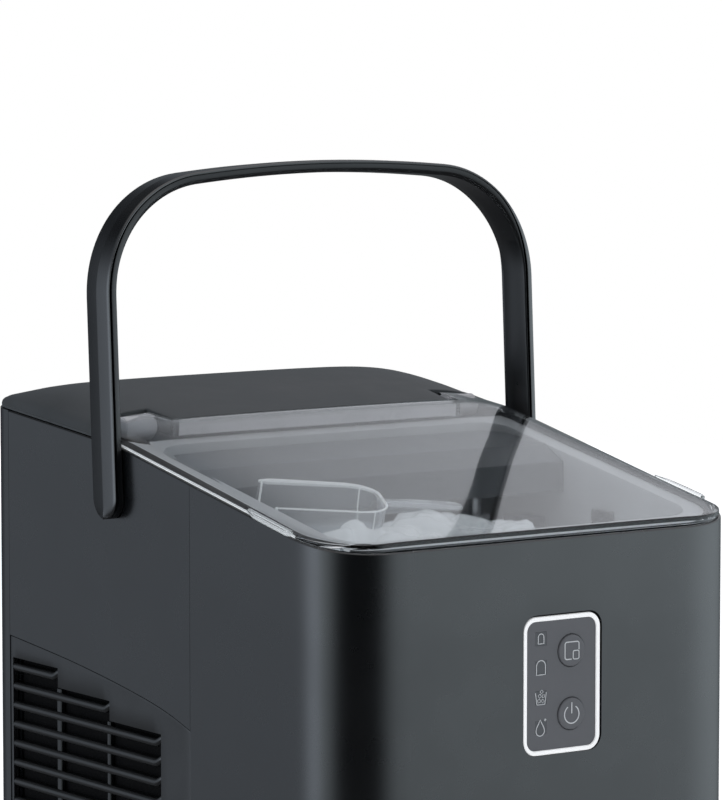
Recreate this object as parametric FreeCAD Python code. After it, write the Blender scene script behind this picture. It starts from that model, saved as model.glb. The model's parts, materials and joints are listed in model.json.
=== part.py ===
"""Portable countertop ice maker with a swinging carry handle, a clear lid and side louvres.

Frame: millimetres, +X to the right seen from the front, front face at -Y, +Z up.
The origin is on the floor, under the middle of the machine.
"""
import FreeCAD, Part
import math
import os

V = FreeCAD.Vector

# ---------------------------------------------------------------- driving dimensions
WIDTH = 222.0                 # casing, side to side
DEPTH = 280.0                 # casing, front to rear
REAR_TOP = 295.0              # height of the side edge at the rear
BREAK_Y = 28.0                # where the side edge starts to fall more steeply
BREAK_TOP = 285.6
FRONT_TOP = 254.0             # height of the side edge at the front
R_FRONT = 28.5                # upright front corners
R_REAR = 12.0                 # upright rear corners
WALL = 2.5                    # casing wall
SKIN_BOTTOM = 8.0             # lower edge of the casing panels
SEAM_Y = -31.0                # upright seam between front wrap and side panel
REAR_SEAM_Y = 124.0           # upright seam between side panel and rear panel
SEAM_GAP = 0.2
FOOT_PLACES = ((-88, -108), (-88, 108), (88, -108), (88, 108))
SCREW_R = 1.6                 # clearance of the small screws
RAIL_BOTTOM = 24.0            # inner rails that tie the casing panels together
RAIL_TOP = 262.0
GAP = 0.3                     # assembly gap between separate bodies

HALF_W = WIDTH / 2.0
HALF_D = DEPTH / 2.0
INNER_X = HALF_W - WALL
INNER_Y = HALF_D - WALL

# top covers: lid in front, domed cover behind
COVER_HALF_W = 110.2          # side edge of lid and rear cover
COVER_RISE = 1.5              # edge height above the casing edge
LID_THICK = 2.4
LID_FRONT_Y = -138.4
LID_REAR_Y = 35.0
EAR_REAR_Y = 56.0
NOSE_X_FRONT = 77.8           # half width of the rear cover's nose at its front edge
NOSE_X_REAR = 80.5            # and where the lid's ears end
LID_AXIS_Y = 48.0
LID_AXIS_Z = 290.6
EAR_R = 7.8
LID_PIN_R = 2.5
RUNNING = 0.05                # radial clearance of a running fit

# carry handle
HANDLE_Y = 31.4
HANDLE_Z = 262.8
HANDLE_HALF = 117.3           # outer half width of the bail
HANDLE_CORNER_Z = 88.7        # corner centre above the pivot
HANDLE_CORNER_R = 54.6
HANDLE_TOP_R = 682.0
HANDLE_TOP_Z = 146.4          # top of the bail above the pivot
HANDLE_W = 19.2
HANDLE_T = 5.6
HANDLE_SPLIT = 2.8            # thickness of the outer shell
HANDLE_TILT = 3.06            # degrees towards the rear at rest
HANDLE_GROOVE = 1.6           # how far the inner shell stands back from the outer one
PIVOT_R = 5.0

# control panel on the front face
PANEL_X = 9.25
PANEL_Z = 190.65
PANEL_W = 41.1
PANEL_H = 60.1
PANEL_R = 6.5
PANEL_FIT = 0.3
RING_W = 2.0
BUTTON_X = 14.5
BUTTON_R = 7.0
SIZE_BUTTON_Z = 204.8
POWER_BUTTON_Z = 177.3
ICON_X = -1.6
ICON_ZS = (211.1, 198.6, 185.6, 172.7)

# louvred lower side panels
LOUVRE_TOP = ((130.0, 189.8), (90.0, 186.2), (62.0, 183.3), (21.0, 177.8), (-11.0, 172.0), (-36.0, 164.8))
LOUVRE_RECESS = 0.2
LOUVRE_PITCH = 8.95
LOUVRE_SLOT_H = 5.4
LOUVRE_ROWS = 17
LOUVRE_FIRST_Z = 173.9        # lower edge of the highest slot
LOUVRE_COLUMNS = ((121.7, 81.6, 0), (78.6, 36.7, 1), (34.0, -6.6, 2))

# tub, basket and freezing gear
TUB_X = 94.0
TUB_FRONT_Y = -126.0
TUB_REAR_Y = 24.0
TUB_FLOOR_Z = 60.0
TUB_WALL = 2.0
FREEZE_Y = -7.0
FREEZE_Z = 236.0
TRAY_R = 29.5
TRAY_T = 2.0
TRAY_HALF = 68.0
AXLE_R = 2.5                  # stub shafts of the tipping trough
PUSHER_R = 32.3               # scraper bar, distance from the trough's axis
PUSHER_ANGLE = -34.0          # and its rest angle
SLIDE_R = 35.8                # inside of the chute around the trough
SLIDE_HALF = 76.0
BEARING_X = 80.5              # inner face of the motor and the bearing block
BASKET = (-88.0, 88.0, -122.0, -42.0, 170.0, 232.0)
SCOOP_W = 40.0
SCOOP_DEPTH = 20.0
SCOOP_T = 1.6
SCOOP_TURN = -22.0            # degrees, handle towards the front right
SCOOP_TILT = 12.0             # degrees, parallel to the lid
SCOOP_AT = (-58.0, -64.0, 267.2)
SCOOP_FOOT_Y = -66.0
COVER_FRONT_Y = -28.0         # front edge of the cover over the freezing plate
PIPE_X = 56.0                 # refrigerant pipes out of the freezing plate
PIPE_Z = 269.5

# rear face
REAR_SCREWS = ((-92, 272), (92, 272), (-92, 66), (92, 66), (-40, 18), (40, 18))
INLET_X = -22.0
INLET_Z = 41.0
DRAIN_X = -70.0
DRAIN_Z = 37.0

# cooling gear behind the tub
FOAM_REAR_Y = 31.0
DRAIN_IN_Z = 66.0             # drain hole low in the tub's rear wall
FILL_X = -4.0
FILL_TOP_Z = 252.0
FAN_Y = 76.0
FAN_Z = 112.0
FAN_R = 38.0
CONDENSER_X = -94.0
CONDENSER_HALF = 10.0
FIN_COUNT = 25
COMP_X = 40.0
COMP_Y = 84.0
COMP_R = 45.0


# ---------------------------------------------------------------- small helpers
def box(x0, x1, y0, y1, z0, z1):
    return Part.makeBox(x1 - x0, y1 - y0, z1 - z0, V(x0, y0, z0))


def rod(p, q, r):
    p = V(*p)
    d = V(*q) - p
    return Part.makeCylinder(r, d.Length, p, d)


def tube(points, r):
    """A pipe along straight runs with a ball at each bend."""
    solids = [rod(a, b, r) for a, b in zip(points, points[1:])]
    solids += [Part.makeSphere(r, V(*p)) for p in points[1:-1]]
    return fuse(solids)


def fuse(shapes):
    shape = shapes[0]
    if len(shapes) > 1:
        shape = shape.multiFuse(list(shapes[1:]))
    return shape.removeSplitter()


def group(shapes):
    return Part.makeCompound(shapes)


def mirror_x(shape):
    return shape.mirror(V(0, 0, 0), V(1, 0, 0))


def outline(x0, x1, y0, y1, r_front, r_rear, z=0.0):
    """Closed rectangle in plan with rounded corners; front is low y."""
    corners = ((x1, y0, r_front, -90), (x1, y1, r_rear, 0), (x0, y1, r_rear, 90), (x0, y0, r_front, 180))
    edges = []
    points = []
    for x, y, r, start in corners:
        cx = x - r if x == x1 else x + r
        cy = y + r if y == y0 else y - r
        arc = [V(cx + r * math.cos(math.radians(start + a)), cy + r * math.sin(math.radians(start + a)), z)
               for a in (0, 45, 90)]
        points.append(arc)
    for i, arc in enumerate(points):
        edges.append(Part.Arc(*arc).toShape())
        following = points[(i + 1) % 4][0]
        if (arc[2] - following).Length > 1e-6:
            edges.append(Part.makeLine(arc[2], following))
    return Part.Wire(edges)


def plan_prism(x0, x1, y0, y1, r_front, r_rear, z0, z1):
    face = Part.Face(outline(x0, x1, y0, y1, r_front, r_rear, z0))
    return face.extrude(V(0, 0, z1 - z0))


def polygon_x(points, x0, x1):
    """Extrude a closed (y, z) outline along X."""
    wire = Part.makePolygon([V(x0, y, z) for y, z in points] + [V(x0, *points[0])])
    return Part.Face(wire).extrude(V(x1 - x0, 0, 0))


def polygon_z(points, z0, z1):
    wire = Part.makePolygon([V(x, y, z0) for x, y in points] + [V(points[0][0], points[0][1], z0)])
    return Part.Face(wire).extrude(V(0, 0, z1 - z0))


def side_z(y):
    """Height of the casing's side edge."""
    if y >= BREAK_Y:
        return BREAK_TOP + (REAR_TOP - BREAK_TOP) * (y - BREAK_Y) / (HALF_D - BREAK_Y)
    return FRONT_TOP + (BREAK_TOP - FRONT_TOP) * (y + HALF_D) / (BREAK_Y + HALF_D)


def below_edge(offset):
    """Everything under the side edge line, moved up by offset."""
    pts = [(-160, -10), (160, -10)] + [(y, side_z(y) + offset) for y in (160, BREAK_Y, -160)]
    return polygon_x(pts, -130, 130)


CROWN = ((0, 1.0), (30, 0.995), (55, 0.975), (75, 0.93), (88, 0.83), (97, 0.68), (103, 0.5), (107.5, 0.28))


def crown_loft(stations, half_w, drop):
    """Solid under a pillow-shaped top: stations are (y, crown height over the edge)."""
    wires = []
    scale = half_w / COVER_HALF_W
    for y, height in stations:
        z_edge = side_z(y) + COVER_RISE - drop
        right = [(x * scale, z_edge + height * share) for x, share in CROWN] + [(half_w, z_edge)]
        line = [(-x, z) for x, z in reversed(right[1:])] + right
        top = Part.BSplineCurve()
        top.interpolate([V(x, y, z) for x, z in line])
        low = z_edge - 24.0
        edges = [top.toShape(),
                 Part.makeLine(V(half_w, y, z_edge), V(half_w, y, low)),
                 Part.makeLine(V(half_w, y, low), V(-half_w, y, low)),
                 Part.makeLine(V(-half_w, y, low), V(-half_w, y, z_edge))]
        wires.append(Part.Wire(edges))
    return Part.makeLoft(wires, True, False)


# ---------------------------------------------------------------- casing
def casing_ring():
    outer = plan_prism(-HALF_W, HALF_W, -HALF_D, HALF_D, R_FRONT, R_REAR, SKIN_BOTTOM, 310)
    inner = plan_prism(-INNER_X, INNER_X, -INNER_Y, INNER_Y, R_FRONT - WALL, R_REAR - WALL, 0, 320)
    return outer.cut(inner).common(below_edge(0))


def base_pan():
    half_x = INNER_X - 1.0
    half_y = INNER_Y - 0.2
    pan = plan_prism(-half_x, half_x, -half_y, half_y, R_FRONT - WALL, R_REAR - WALL, 5, 22)
    hollow = plan_prism(-half_x + 2, half_x - 2, -half_y + 2, half_y - 2, R_FRONT - 4.5, R_REAR - 4.5, 8, 30)
    pan = pan.cut(hollow)
    ribs = [box(-half_x + 1, half_x - 1, y - 1, y + 1, 7.5, 12) for y in (-60, 0)]
    studs = [rod((x, y, 7), (x, y, 14), 5) for x, y in FOOT_PLACES]
    holes = [rod((x, y, 4), (x, y, 15), SCREW_R) for x, y in FOOT_PLACES]
    slots = [box(-90 + 14 * i, -84 + 14 * i, 30, 50, 4, 9) for i in range(3)]
    rear_holes = [rod((x, 130, z), (x, 140, z), SCREW_R) for x, z in REAR_SCREWS if z < 22]
    return fuse([pan] + ribs + studs).cut(group(holes + slots + rear_holes))


def rubber_foot(x, y):
    foot = Part.makeCone(9, 10.5, 5, V(x, y, 0))
    return foot.cut(rod((x, y, -1), (x, y, 3), 4)).cut(rod((x, y, -1), (x, y, 6), SCREW_R))


def foot_screw(x, y):
    return fuse([rod((x, y, 1), (x, y, 3), 3), rod((x, y, 2.9), (x, y, 13), SCREW_R - RUNNING)])


def front_panel():
    panel = casing_ring().common(box(-120, 120, -150, SEAM_Y - SEAM_GAP / 2, 0, 320))
    lip = box(INNER_X - 3.2, INNER_X + 0.01, SEAM_Y - 4, SEAM_Y - 0.1, RAIL_BOTTOM, RAIL_TOP)
    tongue = box(INNER_X - 3.2, INNER_X - 1.0, SEAM_Y - 0.2, SEAM_Y + 5, RAIL_BOTTOM, RAIL_TOP)
    rails = fuse([lip, tongue])
    panel = fuse([panel, rails, mirror_x(rails)])
    x0 = PANEL_X - PANEL_W / 2 - PANEL_FIT
    z0 = PANEL_Z - PANEL_H / 2 - PANEL_FIT
    w = PANEL_W + 2 * PANEL_FIT
    h = PANEL_H + 2 * PANEL_FIT
    return panel.cut(face_plate(x0, z0, w, h, PANEL_R + PANEL_FIT, -145, -130))


def face_plate(x0, z0, w, h, r, y0, y1):
    """Rounded rectangle seen from the front, extruded along Y."""
    flat = plan_prism(x0, x0 + w, z0, z0 + h, r, r, 0, y1 - y0)
    flat.rotate(V(0, 0, 0), V(1, 0, 0), 90)
    flat.translate(V(0, y1, 0))
    return flat


def louvre_curve(offset):
    curve = Part.BSplineCurve()
    curve.interpolate([V(0, y, z + offset) for y, z in LOUVRE_TOP])
    return curve


def louvre_region(offset, x0, x1):
    """Everything on one side below the curved upper edge of the louvred panel."""
    curve = louvre_curve(offset)
    first = V(0, *LOUVRE_TOP[0]) + V(0, 0, offset)
    last = V(0, *LOUVRE_TOP[-1]) + V(0, 0, offset)
    low_a = V(0, last.y, -5)
    low_b = V(0, first.y, -5)
    wire = Part.Wire([curve.toShape(), Part.makeLine(last, low_a), Part.makeLine(low_a, low_b),
                      Part.makeLine(low_b, first)])
    face = Part.Face(wire)
    face.translate(V(x0, 0, 0))
    return face.extrude(V(x1 - x0, 0, 0))


def side_panel_right():
    strip = box(100, 120, SEAM_Y + SEAM_GAP / 2, REAR_SEAM_Y - SEAM_GAP / 2, 0, 320)
    panel = casing_ring().common(strip).cut(louvre_region(0, 100, 120))
    hole = rod((100, HANDLE_Y, HANDLE_Z), (120, HANDLE_Y, HANDLE_Z), PIVOT_R + RUNNING)
    return panel.cut(hole)


def vent_grille_right():
    x1 = HALF_W - LOUVRE_RECESS
    strip = box(x1 - WALL, x1, SEAM_Y + 0.2, REAR_SEAM_Y - 0.2, SKIN_BOTTOM, 250)
    plate = strip.common(louvre_region(-GAP, 100, 120))
    lip_strip = box(INNER_X - 2.2, INNER_X - 0.1, SEAM_Y + 6, REAR_SEAM_Y - 6, 120, 250)
    lip = lip_strip.common(louvre_region(5.0, 100, 120)).cut(louvre_region(-2.0, 100, 120))
    slots = []
    for y_rear, y_front, step in LOUVRE_COLUMNS:
        for row in range(step, LOUVRE_ROWS):
            z = LOUVRE_FIRST_Z - row * LOUVRE_PITCH
            slot = plan_prism(y_front, y_rear, z, z + LOUVRE_SLOT_H, 1.8, 1.8, 0, 10)
            slot.rotate(V(0, 0, 0), V(1, 0, 0), 90)
            slot.rotate(V(0, 0, 0), V(0, 0, 1), 90)
            slot.translate(V(x1 - WALL - 3, 0, 0))
            slots.append(slot)
    return fuse([plate, lip]).cut(group(slots))


def rear_panel():
    panel = casing_ring().common(box(-120, 120, REAR_SEAM_Y + SEAM_GAP / 2, 150, 0, 320))
    tongue = box(INNER_X - 3.2, INNER_X - 1.0, REAR_SEAM_Y - 4, REAR_SEAM_Y + 3, RAIL_BOTTOM, RAIL_TOP)
    web = box(INNER_X - 3.2, INNER_X + 0.01, REAR_SEAM_Y + 0.3, REAR_SEAM_Y + 3, RAIL_BOTTOM, RAIL_TOP)
    rails = fuse([tongue, web])
    panel = fuse([panel, rails, mirror_x(rails)])
    cuts = [box(INLET_X - 13.8, INLET_X + 13.8, 130, 150, INLET_Z - 10.3, INLET_Z + 10.3)]
    cuts.append(rod((DRAIN_X, 130, DRAIN_Z), (DRAIN_X, 150, DRAIN_Z), 13.3))
    for row in range(9):
        z = 90 + 11 * row
        for x0, x1 in ((-84, -32), (-26, 26), (32, 84)):
            cuts.append(box(x0, x1, 130, 150, z, z + 4.5))
    cuts += [rod((x, 130, z), (x, 150, z), SCREW_R) for x, z in REAR_SCREWS]
    cuts += [rod((x, 138.6, z), (x, 150, z), 3.4) for x, z in REAR_SCREWS]
    return panel.cut(group(cuts))


def rear_screw(x, z):
    head = rod((x, 138.7, z), (x, 139.9, z), 3.2)
    head = head.cut(box(x - 2.2, x + 2.2, 139.3, 140.5, z - 0.4, z + 0.4))
    return fuse([head, rod((x, 128, z), (x, 138.8, z), SCREW_R - RUNNING)])


# ---------------------------------------------------------------- top covers
DECK_STATIONS = ((28, 7.4), (45, 8.6), (60, 10.0), (80, 11.9), (105, 12.1), (124, 9.7), (134, 6.6), (142, 3.4))
LID_STATIONS = ((-146, 2.3), (-110, 3.2), (-70, 4.6), (-31, 6.2), (0, 7.3), (28, 8.4), (45, 8.9), (60, 9.6))


def lid_plan(inset, z0, z1):
    """Plan shape of the lid with its rounded front corners."""
    x = COVER_HALF_W - inset
    slope = (NOSE_X_REAR - NOSE_X_FRONT) / (EAR_REAR_Y - LID_REAR_Y)
    half = [(x, LID_FRONT_Y + inset), (x, 38 - inset / 2), (99 - inset * 0.6, 54), (98 - inset * 0.6, EAR_REAR_Y),
            (NOSE_X_REAR + inset, EAR_REAR_Y), (NOSE_X_FRONT + slope * inset + inset, LID_REAR_Y - inset)]
    points = half + [(-a, b) for a, b in reversed(half)]
    body = polygon_z(points, z0, z1)
    corners = plan_prism(-x, x, LID_FRONT_Y + inset, 80, R_FRONT - 2 - inset, 5, z0, z1)
    return body.common(corners)


def barrel(r):
    front = box(-120, 120, -160, LID_AXIS_Y, 200, 320)
    return fuse([front, rod((-120, LID_AXIS_Y, LID_AXIS_Z), (120, LID_AXIS_Y, LID_AXIS_Z), r)])


def lid():
    outer = crown_loft(LID_STATIONS, COVER_HALF_W, 0).common(lid_plan(0, 200, 320)).common(barrel(EAR_R))
    outer = outer.cut(below_edge(GAP))
    inner_top = crown_loft(LID_STATIONS, COVER_HALF_W - 1.2, LID_THICK)
    main = inner_top.common(lid_plan(LID_THICK, 200, 320))
    main = main.common(box(-120, 120, -160, LID_REAR_Y - LID_THICK, 0, 400))
    ears = inner_top.common(group([box(86, 95.5, 20, 54, 200, 320), box(-95.5, -86, 20, 54, 200, 320)]))
    ears = ears.common(barrel(EAR_R - LID_THICK))
    shell = outer.cut(main).cut(ears)
    for side in (-1, 1):
        x_lip = side * (COVER_HALF_W - 1)
        pts = [(x_lip, -66), (x_lip + side * 3.6, -84), (x_lip + side * 3.6, -108), (x_lip, -109.5)]
        lip = polygon_z(pts, 200, 320).cut(below_edge(GAP)).common(below_edge(COVER_RISE + 1.2))
        shell = shell.fuse(lip)
        shell = shell.cut(rod((side * 70, LID_AXIS_Y, LID_AXIS_Z), (side * 91, LID_AXIS_Y, LID_AXIS_Z), LID_PIN_R))
    return shell.removeSplitter()


def lid_hinge_pin(side):
    return rod((side * 73, LID_AXIS_Y, LID_AXIS_Z), (side * 86, LID_AXIS_Y, LID_AXIS_Z), LID_PIN_R)


def deck_plan(inset, z0, z1):
    x = COVER_HALF_W - inset
    gap = 1.2
    half = [(x, 160), (x, 41 + inset), (101 - inset * 0.6, 56.5 + inset), (99, EAR_REAR_Y + gap + inset),
            (NOSE_X_REAR + 2 - inset, EAR_REAR_Y + gap + inset), (NOSE_X_REAR - 2.5 - inset, EAR_REAR_Y - 0.5),
            (NOSE_X_FRONT - gap - inset, LID_REAR_Y + gap + inset)]
    points = half + [(-a, b) for a, b in reversed(half)]
    body = polygon_z(points, z0, z1)
    corners = plan_prism(-x, x, 20, 139.3 - inset, 1, R_REAR - 1 - inset, z0, z1)
    return body.common(corners)


def rear_top_cover():
    top = crown_loft(DECK_STATIONS, COVER_HALF_W, 0).common(deck_plan(0, 200, 320)).cut(below_edge(0.5))
    hollow = crown_loft(DECK_STATIONS, COVER_HALF_W - 1.2, WALL).common(deck_plan(4.0, 200, 320))
    skirt_outer = plan_prism(-INNER_X + 0.3, INNER_X - 0.3, 36.2, INNER_Y - 0.3, 1, 9, 276, 320)
    nose = deck_plan(0, 276, 320).common(skirt_outer).common(below_edge(0.6))
    shell = top.fuse(nose).cut(hollow)
    for side in (-1, 1):
        shell = shell.cut(rod((side * 70, LID_AXIS_Y, LID_AXIS_Z), (side * 90, LID_AXIS_Y, LID_AXIS_Z),
                              LID_PIN_R + RUNNING))
    return shell.removeSplitter()


def hinge_carrier():
    bar = box(-108.2, 108.2, 37.5, 62, 268, 275)
    ends = [box(s, s + 8, 20, 62, 250, 275) for s in (-108.2, 100.2)]
    shape = fuse([bar] + ends)
    pivot = rod((-120, HANDLE_Y, HANDLE_Z), (120, HANDLE_Y, HANDLE_Z), PIVOT_R + RUNNING)
    pipe_ways = [rod((x, 30, PIPE_Z), (x, 70, PIPE_Z), 3.4) for x in (-PIPE_X, PIPE_X)]
    return shape.cut(group([pivot] + pipe_ways))


# ---------------------------------------------------------------- carry handle
def handle_path(inset):
    """Right half points of the bail's outer line, inset towards its inside."""
    half = HANDLE_HALF - inset
    r = HANDLE_CORNER_R - inset
    cx = HANDLE_HALF - HANDLE_CORNER_R
    cz = HANDLE_CORNER_Z
    top_c = HANDLE_TOP_Z - HANDLE_TOP_R
    ux = cx / math.hypot(cx, cz - top_c)
    uz = (cz - top_c) / math.hypot(cx, cz - top_c)
    a = math.atan2(uz, ux) / 2.0
    start = V(half, 0, -HANDLE_W / 2)
    bend = V(half, 0, cz)
    mid = V(cx + r * math.cos(a), 0, cz + r * math.sin(a))
    end = V(cx + r * ux, 0, cz + r * uz)
    top = V(0, 0, HANDLE_TOP_Z - inset)
    return start, bend, mid, end, top


def bail_line(inset):
    """Edges of the bail's line from the right foot over the top to the left foot."""
    start, bend, mid, end, top = handle_path(inset)
    left = [V(-p.x, 0, p.z) for p in (start, bend, mid, end)]
    run = [Part.makeLine(start, bend), Part.Arc(bend, mid, end).toShape(), Part.Arc(end, top, left[3]).toShape(),
           Part.Arc(left[3], left[2], left[1]).toShape(), Part.makeLine(left[1], left[0])]
    return run, start, left[0]


def bail(inset_out, inset_in, half_w):
    """One strap of the bail between two insets, with half-round feet."""
    outer, a0, a1 = bail_line(inset_out)
    inner, b0, b1 = bail_line(inset_in)
    wire = Part.Wire(outer + [Part.makeLine(a1, b1)] + list(reversed(inner)) + [Part.makeLine(b0, a0)])
    face = Part.Face(wire)
    face.translate(V(0, -half_w, 0))
    strap = face.extrude(V(0, 2 * half_w, 0))
    feet = [rod((side * 100, 0, 0), (side * 130, 0, 0), half_w) for side in (-1, 1)]
    keep = fuse([box(-130, 130, -half_w - 1, half_w + 1, 0, 200)] + feet)
    return strap.common(keep)


def place_handle(shape):
    shape.rotate(V(0, 0, 0), V(1, 0, 0), -HANDLE_TILT)
    shape.translate(V(0, HANDLE_Y, HANDLE_Z))
    return shape


def handle_outer_shell():
    return place_handle(bail(0, HANDLE_SPLIT, HANDLE_W / 2))


def handle_inner_shell():
    return place_handle(bail(HANDLE_SPLIT, HANDLE_T, HANDLE_W / 2 - HANDLE_GROOVE))


def handle_pivot(side):
    hub = rod((side * (HALF_W + 0.3), 0, 0), (side * (HANDLE_HALF - HANDLE_T), 0, 0), 9.0)
    shaft = rod((side * 98, 0, 0), (side * (HALF_W + 0.4), 0, 0), PIVOT_R)
    clip = rod((side * 96.6, 0, 0), (side * 99, 0, 0), 7.0)
    return place_handle(fuse([hub, shaft, clip]))


# ---------------------------------------------------------------- control panel
def control_bezel():
    x0 = PANEL_X - PANEL_W / 2
    z0 = PANEL_Z - PANEL_H / 2
    ring = face_plate(x0, z0, PANEL_W, PANEL_H, PANEL_R, -139.8, -136.5)
    hole = face_plate(x0 + RING_W, z0 + RING_W, PANEL_W - 2 * RING_W, PANEL_H - 2 * RING_W, PANEL_R - RING_W,
                      -141, -130)
    flange = face_plate(x0 - 3, z0 - 3, PANEL_W + 6, PANEL_H + 6, PANEL_R + 3, -137.4, -136.5)
    return fuse([ring, flange]).cut(hole)


def button_holes(r, y0, y1):
    return group([rod((BUTTON_X, y0, z), (BUTTON_X, y1, z), r) for z in (SIZE_BUTTON_Z, POWER_BUTTON_Z)])


def control_plate():
    x0 = PANEL_X - PANEL_W / 2 + RING_W
    z0 = PANEL_Z - PANEL_H / 2 + RING_W
    plate = face_plate(x0, z0, PANEL_W - 2 * RING_W, PANEL_H - 2 * RING_W, PANEL_R - RING_W, -139.2, -137.2)
    plate = plate.cut(button_holes(BUTTON_R + PANEL_FIT, -142, -130))
    return plate.cut(group([box(ICON_X - 3, ICON_X + 3, -142, -130, z - 3, z + 3) for z in ICON_ZS]))


def panel_button(z):
    cap = rod((BUTTON_X, -139.9, z), (BUTTON_X, -136.9, z), BUTTON_R)
    cap = cap.makeFillet(0.5, [e for e in cap.Edges if abs(e.BoundBox.YMax + 139.9) < 1e-3])
    flange = rod((BUTTON_X, -136.9, z), (BUTTON_X, -135.9, z), BUTTON_R + 1.2)
    stem = rod((BUTTON_X, -136.0, z), (BUTTON_X, -134.0, z), 2.0)
    return fuse([cap, flange, stem])


def indicator_lenses():
    return group([box(ICON_X - 2.9, ICON_X + 2.9, -139.15, -137.0, z - 2.9, z + 2.9) for z in ICON_ZS])


def button_board():
    x0 = PANEL_X - PANEL_W / 2 - 4
    z0 = PANEL_Z - PANEL_H / 2 - 4
    board = box(x0, x0 + PANEL_W + 8, -131.4, -130.0, z0, z0 + PANEL_H + 8)
    switches = [box(BUTTON_X - 3, BUTTON_X + 3, -133.0, -131.4, z - 3, z + 3)
                for z in (SIZE_BUTTON_Z, POWER_BUTTON_Z)]
    leds = [box(ICON_X - 1.5, ICON_X + 1.5, -132.6, -131.4, z - 1.5, z + 1.5) for z in ICON_ZS]
    return fuse([board] + switches + leds)


# ---------------------------------------------------------------- tub, ice basket and freezing gear
def tub_outline(inset, z0, z1):
    x = TUB_X + inset
    y0 = TUB_FRONT_Y - inset
    y1 = TUB_REAR_Y + inset
    body = plan_prism(-x, x, y0, y1, 16 + inset, 12 + inset, z0, z1)
    return body


def inner_liner():
    tub = tub_outline(TUB_WALL, TUB_FLOOR_Z - TUB_WALL, 300)
    flange = plan_prism(-INNER_X + 0.3, INNER_X - 0.3, -INNER_Y + 0.3, 34.5, R_FRONT - WALL, 2, 240, 300)
    flange = flange.cut(below_edge(-3.2))
    liner = fuse([tub, flange]).common(below_edge(-0.9))
    liner = liner.cut(tub_outline(0, TUB_FLOOR_Z, 310))
    for s in (-1, 1):
        x0, x1 = sorted((s * (TUB_X + 0.5), s * (TUB_X - 7)))
        liner = liner.fuse(box(x0, x1, -108, -46, 164, 167))
    holes = [rod((x, 10, PIPE_Z), (x, 40, PIPE_Z), 3.4) for x in (-PIPE_X, PIPE_X)]
    holes.append(rod((DRAIN_X, 0, DRAIN_IN_Z), (DRAIN_X, 40, DRAIN_IN_Z), 4.8))
    holes.append(rod((FILL_X, 0, FILL_TOP_Z), (FILL_X, 40, FILL_TOP_Z), 2.8))
    return liner.cut(group(holes)).removeSplitter()


def insulation_foam():
    outer = plan_prism(-105, 105, -129.5, FOAM_REAR_Y, 22, 3, 50, 300).common(below_edge(-3.5))
    foam = outer.cut(tub_outline(TUB_WALL + 0.1, TUB_FLOOR_Z - TUB_WALL - 0.1, 310))
    cuts = [box(-120, 120, 20, 40, 240, 300), rod((DRAIN_X, 20, DRAIN_IN_Z), (DRAIN_X, 40, DRAIN_IN_Z), 9)]
    cuts.append(rod((-120, HANDLE_Y, HANDLE_Z), (120, HANDLE_Y, HANDLE_Z), 9))
    cuts.append(box(-56, 56, 15, 40, 40, 100))
    return foam.cut(group(cuts))


def ice_basket():
    x0, x1, y0, y1, z0, z1 = BASKET
    outer = plan_prism(x0, x1, y0, y1, 14, 6, z0, z1)
    inner = plan_prism(x0 + 2, x1 - 2, y0 + 2, y1 - 2, 12, 4, z0 + 2, z1 + 5)
    rim = plan_prism(x0 - 3, x1 + 3, y0 - 2, y1, 16, 6, z1 - 2, z1).cut(
        plan_prism(x0 + 1, x1 - 1, y0 + 1, y1 - 1, 13, 5, z1 - 5, z1 + 5))
    basket = fuse([outer.cut(inner), rim])
    cuts = [box(x0 + 6, x1 - 6, y1 - 3, y1 + 2, 212, z1 + 5)]
    for i in range(11):
        x = -70 + 14 * i
        cuts.append(box(x - 2.5, x + 2.5, y0 + 10, y1 - 10, z0 - 1, z0 + 3))
        if abs(x) < 72:
            cuts.append(box(x - 2.5, x + 2.5, y0 - 1, y0 + 3, z0 + 14, z1 - 14))
    return basket.cut(group(cuts))


def ice_scoop():
    """Clear shovel, open at its left end, standing on the ice by a foot clipped over the basket's rim."""
    half_v = SCOOP_W / 2.0
    bowl = plan_prism(-30, 22, -half_v, half_v, 12, 12, -SCOOP_DEPTH, 0)
    hollow = plan_prism(-40, 22 - SCOOP_T, SCOOP_T - half_v, half_v - SCOOP_T, 10, 10, SCOOP_T - SCOOP_DEPTH, 5)
    rim = plan_prism(-30, 23.2, -half_v - 1.2, half_v + 1.2, 13, 13, -1.6, 0)
    grip = plan_prism(20.5, 58, -6, 6, 5.5, 5.5, -2.4, 0)
    brace = box(20.5, 50, -0.9, 0.9, -7, -2)
    scoop = fuse([fuse([bowl, rim]).cut(hollow), grip, brace])
    scoop.rotate(V(0, 0, 0), V(0, 0, 1), SCOOP_TURN)
    scoop.rotate(V(0, 0, 0), V(1, 0, 0), SCOOP_TILT)
    scoop.translate(V(*SCOOP_AT))
    wall_x = BASKET[0] + 2.0
    rim_z = BASKET[5]
    foot = box(wall_x - 5, wall_x + 1.8, SCOOP_FOOT_Y - 4, SCOOP_FOOT_Y + 4, rim_z + RUNNING, rim_z + 22)
    clip = box(wall_x + 0.3, wall_x + 1.8, SCOOP_FOOT_Y - 4, SCOOP_FOOT_Y + 4, rim_z - 7, rim_z + 5)
    return fuse([scoop, fuse([foot, clip]).cut(scoop_inside())])


def scoop_inside():
    """Space inside and above the shovel that its foot stays out of."""
    half_v = SCOOP_W / 2.0
    space = box(-29, 22, SCOOP_T - half_v, half_v - SCOOP_T, SCOOP_T - SCOOP_DEPTH, 40)
    space.rotate(V(0, 0, 0), V(0, 0, 1), SCOOP_TURN)
    space.rotate(V(0, 0, 0), V(1, 0, 0), SCOOP_TILT)
    space.translate(V(*SCOOP_AT))
    return space


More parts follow.
